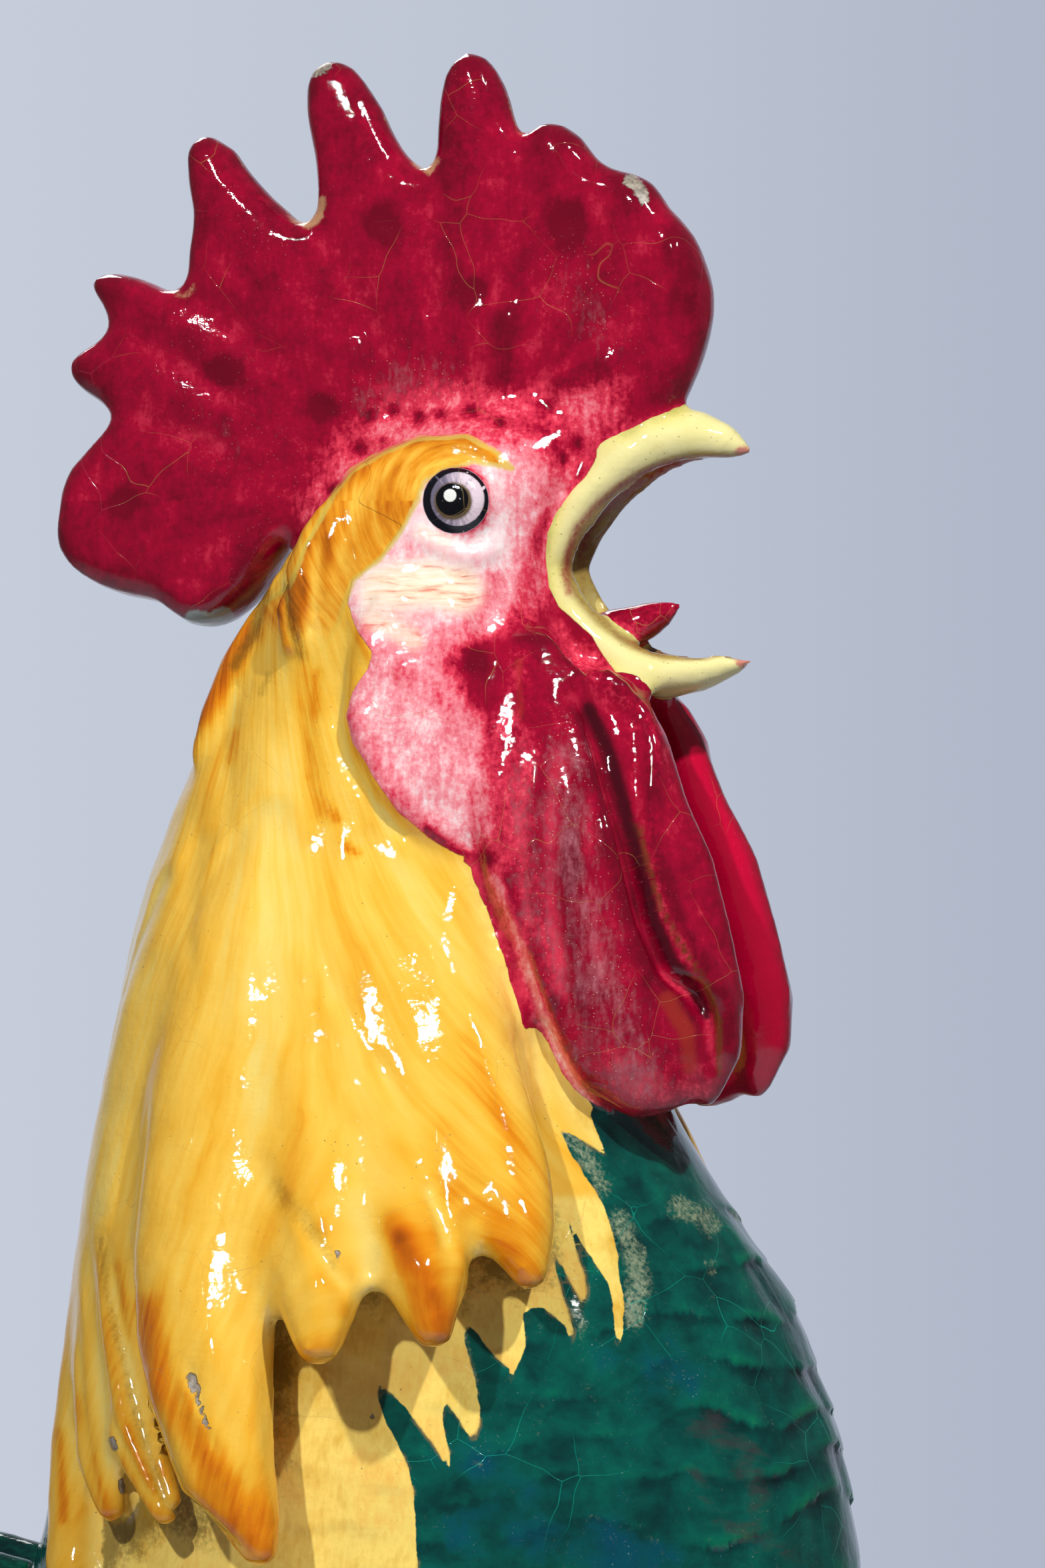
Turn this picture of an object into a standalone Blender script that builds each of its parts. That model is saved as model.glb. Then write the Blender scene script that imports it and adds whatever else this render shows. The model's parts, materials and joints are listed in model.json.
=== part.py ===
"""Crowing rooster in tin-glazed faience: the clay pieces that the potter makes and lutes together.

The bird faces +X, its right side is at -Y, and the mound that it stands on rests at z = 0.
Numbers in the tables are steps of a UNIT, which is a millimetre at the bird's full size, and
heights there are measured from the top of the mound.
"""

import math

import bmesh
import bpy
from mathutils import Vector

# The bird from the top of its mound to the tip of its comb, which sets the UNIT of every table
BIRD_HEIGHT = 0.5802
COMB_TOP = 580.2
UNIT = BIRD_HEIGHT / COMB_TOP

# Mound
BASE_LENGTH = 0.216
BASE_WIDTH = 0.184
BASE_HEIGHT = 0.060
BASE_WALL = 0.009
BASE_CENTRE_X = -0.026

# Body
BODY_WIDTH = 0.134

# Head
COMB_EDGE_THICKNESS = 0.0085
COMB_ROOT_THICKNESS = 0.015
EYE_WIDTH = 0.0126
EYE_BULGE = 0.0018
GAPE_WIDTH = 0.0095
GAPE_DEPTH = 0.0055
BEAK_WIDTH = 0.0185
TONGUE_WIDTH = 0.0078
LOBE_THICKNESS = 0.0075
WATTLE_THICKNESS = 0.0105
WATTLE_SPREAD = 0.020

# Feathers
LOCK_THICKNESS = 0.015
NAPE_LOCK_THICKNESS = 0.0075
WING_THICKNESS = 0.017
SADDLE_THICKNESS = 0.013
TAIL_CORE_WIDTH = 0.062
SICKLE_THICKNESS = 0.013

# Legs
LEG_SPACING = 0.068
SHANK_THICKNESS = 0.0130
TOE_THICKNESS = 0.0105
SPUR_LENGTH = 0.016
TUFT_WIDTH = 0.046

# Clay left out at every luted seam
SEAM = 0.0003

# Points nearer than this are one point
WELD = 5e-7

# A seam runs round a corner of the clay at most this many times its own width away from it
CORNER_REACH = 1.6

# Edges sharper than this stay crisp in the glaze
CRISP_EDGE = math.radians(38)


def clear_scene():
    for old in list(bpy.data.objects):
        bpy.data.objects.remove(old, do_unlink=True)
    for old in list(bpy.data.collections):
        bpy.data.collections.remove(old)


clear_scene()
BIRD = bpy.data.collections.new("faience_rooster")
CUTTERS = bpy.data.collections.new("cutters")
bpy.context.scene.collection.children.link(BIRD)
bpy.context.scene.collection.children.link(CUTTERS)
ORIGIN = bpy.data.objects.new("rooster_origin", None)
BIRD.objects.link(ORIGIN)

GLAZE = {
    "yellow": (0.80, 0.50, 0.06),
    "amber": (0.60, 0.22, 0.02),
    "crimson": (0.38, 0.005, 0.03),
    "rose": (0.80, 0.45, 0.50),
    "lemon": (0.72, 0.66, 0.20),
    "emerald": (0.005, 0.11, 0.08),
    "ink": (0.01, 0.012, 0.015),
    "moss": (0.05, 0.16, 0.03),
    "straw": (0.60, 0.42, 0.12),
    "tail": (0.004, 0.03, 0.03),
    "bronze": (0.18, 0.05, 0.01),
}


def glaze(name, colour):
    """A glossy glaze of its own for the piece called name."""
    made = bpy.data.materials.new(name + "_glaze")
    made.use_nodes = True
    shader = made.node_tree.nodes["Principled BSDF"]
    shader.inputs["Base Color"].default_value = GLAZE[colour] + (1.0,)
    shader.inputs["Roughness"].default_value = 0.15
    return made


# Shapes

# A rounded end: how far out its last ring and its tip are, and how wide that ring is, as shares
END_RING_REACH = 0.65
END_RING_SIZE = 0.7
END_TIP_REACH = 0.92
LEAST_HALF = 0.2


def smooth_rows(keys, steps):
    """Rows through every key, with steps of a Catmull-Rom curve from one key to the next."""
    rows = []
    for i in range(len(keys) - 1):
        before = keys[max(i - 1, 0)]
        after = keys[min(i + 2, len(keys) - 1)]
        for s in range(steps):
            t = s / steps
            row = []
            for a, b, c, d in zip(before, keys[i], keys[i + 1], after):
                row.append(
                    b
                    + 0.5 * t * (c - a)
                    + t * t * (a - 2.5 * b + 2.0 * c - 0.5 * d)
                    + t ** 3 * (1.5 * (b - c) + 0.5 * (d - a))
                )
            rows.append(row)
    rows.append(list(keys[-1]))
    return rows


def oval(centre, across, out, half_across, half_out, sides):
    points = []
    for k in range(sides):
        turn = 2 * math.pi * (k + 0.5) / sides
        points.append(centre + across * (half_across * math.cos(turn)) + out * (half_out * math.sin(turn)))
    return points


def mesh_of_rings(name, rings, first, last):
    """A closed mesh through rings of equal count, with a fan to the points first and last."""
    mesh = bpy.data.meshes.new(name)
    shape = bmesh.new()
    loops = [[shape.verts.new(p) for p in ring] for ring in rings]
    sides = len(loops[0])
    for low, high in zip(loops, loops[1:]):
        for k in range(sides):
            n = (k + 1) % sides
            shape.faces.new((low[k], low[n], high[n], high[k]))
    for loop, tip in ((loops[0], first), (loops[-1], last)):
        end = shape.verts.new(tip)
        for k in range(sides):
            shape.faces.new((loop[k], loop[(k + 1) % sides], end))
    shape.normal_update()
    bmesh.ops.recalc_face_normals(shape, faces=shape.faces)
    bmesh.ops.triangulate(shape, faces=shape.faces)
    shape.to_mesh(mesh)
    shape.free()
    made = bpy.data.objects.new(name, mesh)
    CUTTERS.objects.link(made)
    return made


def sweep(name, keys, out_of, sides=12, steps=2, round_ends=(False, True)):
    """A tapering form along keys of (x, y, z, half across, half out), all in units.

    out_of gives the direction in which half out is measured.
    """
    rows = smooth_rows(keys, steps)
    centres = [Vector(row[:3]) * UNIT for row in rows]
    rings = []
    frames = []
    for i, (row, centre) in enumerate(zip(rows, centres)):
        along = (centres[min(i + 1, len(rows) - 1)] - centres[max(i - 1, 0)]).normalized()
        out = Vector(out_of(*row[:3]))
        out = (out - along * out.dot(along)).normalized()
        across = along.cross(out)
        halves = [max(v, LEAST_HALF) * UNIT for v in row[3:5]]
        frames.append((centre, across, out, halves, along))
        rings.append(oval(centre, across, out, halves[0], halves[1], sides))
    tips = [centres[0], centres[-1]]
    for end, way in ((0, -1), (1, 1)):
        if not round_ends[end]:
            continue
        centre, across, out, halves, along = frames[-1 if end else 0]
        reach = min(halves)
        small = [END_RING_SIZE * half for half in halves]
        extra = oval(centre + along * (way * END_RING_REACH * reach), across, out, small[0], small[1], sides)
        if end:
            rings.append(extra)
        else:
            rings.insert(0, extra)
        tips[end] = centre + along * (way * END_TIP_REACH * reach)
    return mesh_of_rings(name, rings, tips[0], tips[1])


# Each row: height, rear and front of the body, and half its width as a share of the widest
BODY = (
    (150, -60, -26, 0.17),
    (155, -78, -10, 0.38),
    (166, -97, 9, 0.60),
    (186, -114, 31, 0.81),
    (212, -125, 49, 0.95),
    (242, -125, 60, 1.00),
    (270, -110, 64, 0.975),
    (297, -94, 63.5, 0.915),
    (325, -89, 59, 0.85),
    (344, -86.5, 51.5, 0.80),
    (362, -85, 40.5, 0.75),
    (380, -82.5, 28.5, 0.70),
    (400, -79, 20, 0.65),
    (420, -74.5, 13, 0.58),
    (438, -68, 13, 0.49),
    (450, -63, 19, 0.44),
    (461, -57.5, 19, 0.405),
    (471, -52, 14, 0.385),
    (483, -45.5, 9.5, 0.37),
    (496, -38.5, 11.5, 0.335),
    (506, -30, 15.5, 0.25),
    (512, -21, 14, 0.15),
    (515.5, -10, 8, 0.05),
)


def body_at(height):
    """(middle, half depth, half width) of the body at a height, in units."""
    height = min(max(height, BODY[0][0]), BODY[-1][0])
    for i in range(len(BODY) - 1):
        if BODY[i][0] <= height <= BODY[i + 1][0]:
            break
    t = (height - BODY[i][0]) / (BODY[i + 1][0] - BODY[i][0])
    rows = [BODY[max(i - 1, 0)], BODY[i], BODY[i + 1], BODY[min(i + 2, len(BODY) - 1)]]
    values = []
    for j in (1, 2, 3):
        slope_in = (rows[2][j] - rows[0][j]) / (rows[2][0] - rows[0][0])
        slope_out = (rows[3][j] - rows[1][j]) / (rows[3][0] - rows[1][0])
        span = rows[2][0] - rows[1][0]
        values.append(
            rows[1][j] * (2 * t ** 3 - 3 * t * t + 1)
            + slope_in * span * (t ** 3 - 2 * t * t + t)
            + rows[2][j] * (3 * t * t - 2 * t ** 3)
            + slope_out * span * (t ** 3 - t * t)
        )
    rear, front, share = values
    return (rear + front) / 2, (front - rear) / 2, share * BODY_WIDTH / UNIT / 2


def flank(x, height):
    """How far the body's side is from the middle plane at x and height."""
    middle, depth, width = body_at(height)
    return width * math.sqrt(max(0.04, 1 - ((x - middle) / depth) ** 2))


def away(x, y, z):
    """The direction straight out of the body, level, for a form at this point."""
    middle, depth, width = body_at(z)
    return (x - middle) / depth ** 2, y / width ** 2, 0.0


# The level seams where torso, neck and head are luted together
NECK_Z = 368
HEAD_Z = 452

BODY_SIDES = 24
TORSO_RINGS = 12
NECK_RINGS = 5
HEAD_RINGS = 9
BELLY_DROP = 1.6
CROWN_RISE = 0.8


def body_heights():
    """The heights of the body's rings, closer together where the belly and the crown turn in."""
    heights = []
    for i in range(TORSO_RINGS):
        t = i / TORSO_RINGS
        heights.append(BODY[0][0] + (NECK_Z - BODY[0][0]) * (0.3 * t + 0.7 * t ** 1.5))
    for i in range(NECK_RINGS):
        heights.append(NECK_Z + (HEAD_Z - NECK_Z) * i / NECK_RINGS)
    for i in range(HEAD_RINGS + 1):
        t = 1 - i / HEAD_RINGS
        heights.append(BODY[-1][0] + (HEAD_Z - BODY[-1][0]) * (0.3 * t + 0.7 * t ** 1.5))
    return heights


def body_slice(name, low, high, trim_low=0.0, trim_high=0.0):
    """The body from one height to another, with a little left out at the seams it is luted at."""
    heights = [h for h in body_heights() if low - 0.01 < h < high + 0.01]
    heights[0] += trim_low
    heights[-1] -= trim_high
    rings = []
    for height in heights:
        middle, depth, width = body_at(height)
        centre = Vector((middle, 0, height)) * UNIT
        halves = (depth * UNIT, width * UNIT)
        rings.append(oval(centre, Vector((1, 0, 0)), Vector((0, 1, 0)), halves[0], halves[1], BODY_SIDES))
    ends = [Vector((body_at(h)[0], 0, h)) * UNIT for h in (heights[0], heights[-1])]
    if low <= BODY[0][0]:
        ends[0].z -= BELLY_DROP * UNIT
    if high >= BODY[-1][0]:
        ends[1].z += CROWN_RISE * UNIT
    return mesh_of_rings(name, rings, ends[0], ends[1])


# Cutting and seating


def evaluated(piece):
    """Puts the piece's modifiers into its mesh."""
    bpy.context.view_layer.update()
    graph = bpy.context.evaluated_depsgraph_get()
    mesh = bpy.data.meshes.new_from_object(piece.evaluated_get(graph))
    old = piece.data
    piece.modifiers.clear()
    piece.data = mesh
    bpy.data.meshes.remove(old)


def volume_of(mesh):
    """The volume inside a mesh, or nothing when it isn't closed."""
    shape = bmesh.new()
    shape.from_mesh(mesh)
    whole = len(shape.faces) > 3 and all(len(edge.link_faces) == 2 for edge in shape.edges)
    volume = shape.calc_volume(signed=True) if whole else 0.0
    shape.free()
    return volume


def combine(piece, other, operation):
    """Cuts or joins the piece, with the second solver where the first one leaves no closed body."""
    start = piece.data.copy()
    before = volume_of(start)
    least = before * 0.1 if operation == "DIFFERENCE" else max(before, volume_of(other.data)) * 0.98
    for solver in ("EXACT", "MANIFOLD"):
        piece.data = start.copy()
        step = piece.modifiers.new("step", "BOOLEAN")
        step.operation = operation
        step.solver = solver
        step.object = other
        evaluated(piece)
        tidy(piece)
        if volume_of(piece.data) >= least:
            break


def tidy(piece):
    """Welds points that fell on each other and keeps the largest body."""
    shape = bmesh.new()
    shape.from_mesh(piece.data)
    bmesh.ops.remove_doubles(shape, verts=shape.verts, dist=WELD)
    bmesh.ops.dissolve_degenerate(shape, edges=shape.edges, dist=WELD)
    left = set(shape.verts)
    bodies = []
    while left:
        body = set()
        front = [left.pop()]
        while front:
            vert = front.pop()
            body.add(vert)
            for edge in vert.link_edges:
                other = edge.other_vert(vert)
                if other in left:
                    left.remove(other)
                    front.append(other)
        bodies.append(body)
    if len(bodies) > 1:
        sizes = []
        for body in bodies:
            low = [min(v.co[a] for v in body) for a in range(3)]
            high = [max(v.co[a] for v in body) for a in range(3)]
            sizes.append(math.prod(h - l for l, h in zip(low, high)))
        keep = bodies[sizes.index(max(sizes))]
        bmesh.ops.delete(shape, geom=[v for v in shape.verts if v not in keep], context="VERTS")
    shape.to_mesh(piece.data)
    shape.free()


def grown(piece):
    """A copy of the piece that is a seam larger all round, to cut its neighbours with."""
    mesh = piece.data.copy()
    shape = bmesh.new()
    shape.from_mesh(mesh)
    bmesh.ops.triangulate(shape, faces=shape.faces)
    shape.normal_update()
    moved = [
        (v, v.co + v.normal * (SEAM * min(v.calc_shell_factor(), CORNER_REACH))) for v in shape.verts
    ]
    for vert, target in moved:
        vert.co = target
    shape.to_mesh(mesh)
    shape.free()
    copy = bpy.data.objects.new(piece.name + "_room", mesh)
    copy.hide_render = True
    copy.display_type = "WIRE"
    CUTTERS.objects.link(copy)
    return copy


def box_of(piece):
    points = [v.co for v in piece.data.vertices]
    return [(min(p[a] for p in points), max(p[a] for p in points)) for a in range(3)]


def near(first, second):
    return all(
        a[0] <= b[1] + SEAM and b[0] <= a[1] + SEAM for a, b in zip(box_of(first), box_of(second))
    )


ROOM = {}


def place(piece, name, colour, seat_on=(), room_from=None):
    """Cuts the piece by the room of the pieces that it is luted to, and adds it to the bird."""
    room = grown(room_from or piece)
    for other in seat_on:
        if near(piece, ROOM[other]):
            combine(piece, ROOM[other], "DIFFERENCE")
    CUTTERS.objects.unlink(piece)
    BIRD.objects.link(piece)
    piece.name = name
    piece.data.name = name
    piece.data.materials.clear()
    piece.data.materials.append(glaze(name, colour))
    piece.parent = ORIGIN
    piece.data.shade_smooth()
    piece.data.set_sharp_from_angle(angle=CRISP_EDGE)
    ROOM[name] = room
    return piece


def mirrored(piece, name):
    """The same form on the other side of the middle plane."""
    mesh = piece.data.copy()
    shape = bmesh.new()
    shape.from_mesh(mesh)
    for vert in shape.verts:
        vert.co.y = -vert.co.y
    bmesh.ops.reverse_faces(shape, faces=shape.faces)
    shape.to_mesh(mesh)
    shape.free()
    made = bpy.data.objects.new(name, mesh)
    CUTTERS.objects.link(made)
    return made


def both_sides(stem, make, colour, seat_on=()):
    """The right piece at -Y, seated on the pieces named with {s} for the side, and its mirror image."""
    right = place(make(-1), stem + "_r", colour, [n.format(s="r") for n in seat_on])
    left = place(mirrored(right, stem), stem + "_l", colour)
    bpy.data.objects.remove(ROOM[left.name])
    ROOM[left.name] = mirrored(ROOM[right.name], left.name + "_room")
    ROOM[left.name].hide_render = True
    ROOM[left.name].display_type = "WIRE"


def sideways(side):
    return lambda x, y, z: (0, side, 0)


def upward(x, y, z):
    return 0, 0, 1


# Torso, neck and head, one form cut level at its two seams

HALF_SEAM = SEAM / UNIT / 2
place(body_slice("torso", BODY[0][0], NECK_Z, trim_high=HALF_SEAM), "torso", "emerald")
place(body_slice("neck", NECK_Z, HEAD_Z, HALF_SEAM, HALF_SEAM), "neck", "yellow")
head = body_slice("head", HEAD_Z, BODY[-1][0], trim_low=HALF_SEAM)
head_whole = head.copy()
head_whole.data = head.data.copy()
CUTTERS.objects.link(head_whole)
ROOM["body"] = grown(body_slice("body", BODY[0][0], BODY[-1][0]))

# Gape: the trough that runs round the inside of the open beak, from tip to tip

GAPE_HALF = GAPE_WIDTH / UNIT / 2
GAPE_DEEP = GAPE_DEPTH / UNIT
GAPE_MIDDLE_X = 42
GAPE_MIDDLE_Z = 484.5
GAPE_PATH = (
    (50, 503.6, 0.25, 0.3),
    (41, 501.6, 0.35, 0.4),
    (32, 501.4, 0.75, 0.6),
    (26.5, 499.6, 0.95, 0.75),
    (20.5, 496.4, 1.0, 0.9),
    (15.6, 491.8, 1.0, 1.0),
    (12.9, 485.5, 1.0, 1.0),
    (12.9, 479.6, 1.0, 1.0),
    (15.2, 474.6, 1.0, 1.0),
    (20.4, 471.2, 1.0, 0.9),
    (27, 469.5, 0.9, 0.75),
    (35, 468.1, 0.65, 0.55),
    (43, 467.4, 0.35, 0.35),
    (50, 467.4, 0.25, 0.3),
)


def from_gape(x, y, z):
    """The direction away from the middle of the open beak."""
    return x - GAPE_MIDDLE_X, 0, z - GAPE_MIDDLE_Z


gape = sweep(
    "gape",
    [(x, 0, z, w * GAPE_HALF, d * GAPE_DEEP) for x, z, w, d in GAPE_PATH],
    from_gape,
    sides=10,
    steps=1,
    round_ends=(True, True),
)

# Tongue, sunk in the throat

TONGUE_HALF = TONGUE_WIDTH / UNIT / 2
TONGUE_PATH = (
    (9, 470, 0.8, 3.2),
    (14, 471.2, 1.0, 3.6),
    (20, 472.2, 1.0, 3.8),
    (25, 473.4, 0.85, 3.5),
    (28.6, 475.3, 0.5, 2.1),
    (31.2, 477.0, 0.14, 0.6),
)
tongue = sweep(
    "tongue",
    [(x, 0, z, w * TONGUE_HALF, h) for x, z, w, h in TONGUE_PATH],
    upward,
    sides=10,
    steps=1,
    round_ends=(True, True),
)
place(tongue, "tongue", "crimson")

# Eyes in sockets

EYE_X = -6.3
EYE_Z = 495.2
EYE_DEPTH_SHARE = 0.55


def make_eye(side):
    half = EYE_WIDTH / 2
    deep = EYE_DEPTH_SHARE * half
    surface = flank(EYE_X, EYE_Z) * UNIT
    shape = bmesh.new()
    bmesh.ops.create_uvsphere(shape, u_segments=14, v_segments=7, radius=1.0)
    for vert in shape.verts:
        x, y, z = vert.co
        place_y = side * (surface + EYE_BULGE - deep + deep * z)
        vert.co = (EYE_X * UNIT + half * x, place_y, EYE_Z * UNIT + half * y)
    shape.normal_update()
    bmesh.ops.recalc_face_normals(shape, faces=shape.faces)
    mesh = bpy.data.meshes.new("eye")
    shape.to_mesh(mesh)
    shape.free()
    made = bpy.data.objects.new("eye", mesh)
    CUTTERS.objects.link(made)
    return made


both_sides("eye", make_eye, "ink")
combine(head, gape, "DIFFERENCE")
place(head, "head", "rose", ["tongue", "eye_r", "eye_l"], room_from=head_whole)

# Beaks: crescents seated on the front of the head, with the trough cut along their inside

BEAK_HALF = BEAK_WIDTH / UNIT / 2
UPPER_BEAK = (
    (8.0, 484.4, 1.10, 3.8),
    (10.5, 490.5, 1.12, 4.2),
    (15.0, 497.2, 1.10, 4.8),
    (20.8, 502.8, 1.04, 5.4),
    (27.5, 506.8, 0.88, 5.7),
    (34.5, 507.7, 0.62, 4.7),
    (40.0, 506.3, 0.40, 3.1),
    (43.3, 504.8, 0.17, 1.3),
)
LOWER_BEAK = (
    (8.0, 482.0, 1.10, 3.8),
    (10.8, 475.6, 1.12, 4.2),
    (15.4, 469.8, 1.10, 4.7),
    (21.5, 465.2, 1.00, 4.9),
    (28.5, 463.2, 0.80, 4.3),
    (35.5, 463.9, 0.55, 3.3),
    (41.0, 465.3, 0.34, 2.0),
    (44.2, 466.0, 0.15, 0.9),
)


def make_beak(name, path):
    keys = [(x, 0, z, w * BEAK_HALF, h) for x, z, w, h in path]
    return sweep(name, keys, from_gape, sides=14, steps=1, round_ends=(True, True))


upper = make_beak("upper_beak", UPPER_BEAK)
lower = make_beak("lower_beak", LOWER_BEAK)
ROOM["gape"] = gape
gape.hide_render = True
gape.display_type = "WIRE"
place(upper, "upper_beak", "lemon", ["body", "gape"])
place(lower, "lower_beak", "lemon", ["body", "gape", "tongue", "upper_beak"])

# Comb: a flat cast blade with rounded edges, thicker where it is luted to the crown

COMB = (
    (-46, 488), (-51.5, 479.4), (-58.7, 473.9), (-65.5, 473.4), (-71.5, 477.6), (-79.4, 479.4),
    (-86.6, 482.6), (-91.6, 487.5), (-92.2, 494.5), (-89.8, 503.6), (-83.2, 510.2), (-81.4, 513.6),
    (-86.8, 517.9), (-90.4, 522.6), (-87.4, 525.8), (-82.3, 530.0), (-83.8, 534.6), (-86.1, 539.0),
    (-82.6, 540.7), (-74.8, 538.6), (-68.0, 536.8), (-66.0, 544.2), (-65.0, 552.3), (-66.5, 563.0),
    (-62.8, 566.5), (-54.1, 558.5), (-45.9, 550.4), (-42.0, 549.3), (-40.1, 554.5), (-41.2, 564.5),
    (-42.4, 575.4), (-37.9, 579.8), (-31.5, 575.4), (-26.0, 565.6), (-20.6, 559.2), (-17.2, 559.3),
    (-16.1, 566.0), (-14.8, 576.0), (-10.5, 580.2), (-5.6, 577.2), (-2.6, 570.0), (0.3, 564.1),
    (4.3, 566.7), (10.9, 564.0), (14.3, 559.3), (19.0, 557.1), (25.0, 555.0), (28.4, 550.3),
    (33.4, 544.6), (35.6, 539.0), (36.6, 530.5), (35.0, 523.0), (32.4, 516.8), (27, 508.5),
    (14, 503), (-4, 503), (-20, 499), (-34, 492),
)
COMB_ROOT = 505.0
COMB_ROUND_SHARE = 0.8


def make_comb():
    outline = bpy.data.curves.new("comb_outline", "CURVE")
    outline.dimensions = "2D"
    outline.fill_mode = "BOTH"
    outline.resolution_u = 2
    edge = COMB_EDGE_THICKNESS / 2
    outline.bevel_depth = edge * COMB_ROUND_SHARE
    outline.bevel_resolution = 1
    outline.extrude = edge * (1 - COMB_ROUND_SHARE)
    outline.offset = -outline.bevel_depth
    line = outline.splines.new("BEZIER")
    line.bezier_points.add(len(COMB) - 1)
    line.use_cyclic_u = True
    for point, (x, z) in zip(line.bezier_points, COMB):
        point.co = (x * UNIT, z * UNIT, 0)
        point.handle_left_type = "AUTO"
        point.handle_right_type = "AUTO"
    holder = bpy.data.objects.new("comb_outline", outline)
    CUTTERS.objects.link(holder)
    bpy.context.view_layer.update()
    graph = bpy.context.evaluated_depsgraph_get()
    mesh = bpy.data.meshes.new_from_object(holder.evaluated_get(graph))
    bpy.data.objects.remove(holder, do_unlink=True)
    shape = bmesh.new()
    shape.from_mesh(mesh)
    bmesh.ops.remove_doubles(shape, verts=shape.verts, dist=1e-5)
    ratio = COMB_ROOT_THICKNESS / COMB_EDGE_THICKNESS - 1
    for vert in shape.verts:
        x, z, y = vert.co
        low = (COMB_TOP * UNIT - z) / ((COMB_TOP - COMB_ROOT) * UNIT)
        vert.co = (x, y * (1 + ratio * low), z)
    shape.normal_update()
    bmesh.ops.recalc_face_normals(shape, faces=shape.faces)
    shape.to_mesh(mesh)
    shape.free()
    made = bpy.data.objects.new("comb", mesh)
    CUTTERS.objects.link(made)
    return made


place(make_comb(), "comb", "crimson", ["body", "upper_beak"])

# Ear lobes

LOBE_LIFT_SHARE = 0.1
LOBE = (
    (-12, 478, 8.0, 0.5),
    (-12, 468, 12.5, 0.8),
    (-11.5, 456, 14.0, 1.0),
    (-8, 444, 12.0, 1.0),
    (-3, 435, 7.0, 0.8),
    (0.5, 430.5, 2.5, 0.4),
)


def make_lobe(side):
    half = LOBE_THICKNESS / UNIT / 2
    keys = []
    for x, z, wide, share in LOBE:
        keys.append((x, side * (flank(x, z) + LOBE_LIFT_SHARE * half), z, wide, share * half))
    return sweep("lobe", keys, away, sides=14, steps=1, round_ends=(True, True))


both_sides("lobe", make_lobe, "rose", ["body", "eye_{s}"])

# Wattles: a broad fold with a rolled front edge, the two parted by a groove

WATTLE_YAW = math.radians(20)
WATTLE_BODY = (
    (6, 469, 6.0, 0.45, 0.95),
    (9, 458, 11.0, 0.8, 1.05),
    (11.5, 444, 13.8, 1.0, 1.20),
    (15, 430, 14.0, 1.0, 1.27),
    (20.5, 415, 13.6, 1.0, 1.25),
    (27, 403, 14.4, 1.0, 1.18),
    (31, 393, 13.6, 0.95, 1.10),
    (32.8, 386, 8.5, 0.75, 1.02),
)
WATTLE_ROLL = (
    (23.5, 460, 3.4, 0.55, 0.50),
    (26.5, 451, 5.2, 0.85, 0.58),
    (30.5, 438, 5.8, 1.0, 0.66),
    (34.5, 427, 7.2, 1.1, 0.72),
    (38.0, 414, 7.2, 1.15, 0.76),
    (41.5, 404, 6.2, 1.15, 0.80),
    (42.6, 394, 4.8, 0.95, 0.82),
    (40.5, 386.5, 2.8, 0.6, 0.84),
)


def make_wattle(side):
    half = WATTLE_THICKNESS / UNIT / 2
    spread = WATTLE_SPREAD / UNIT
    out = (math.sin(WATTLE_YAW), side * math.cos(WATTLE_YAW), 0)
    parts = []
    for path in (WATTLE_BODY, WATTLE_ROLL):
        keys = [(x, side * spread * apart, z, wide, share * half) for x, z, wide, share, apart in path]
        parts.append(
            sweep("wattle", keys, lambda x, y, z: out, sides=12, steps=1, round_ends=(True, True))
        )
    combine(parts[0], parts[1], "UNION")
    bpy.data.objects.remove(parts[1], do_unlink=True)
    return parts[0]


both_sides("wattle", make_wattle, "crimson", ["body", "lobe_{s}", "lower_beak", "tongue"])

# Hackle: thick locks that start flush on the neck and stand off the breast at their tips.
# Each key: x, how far the lock's middle stands off the body, height, half width, share of thickness

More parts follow.
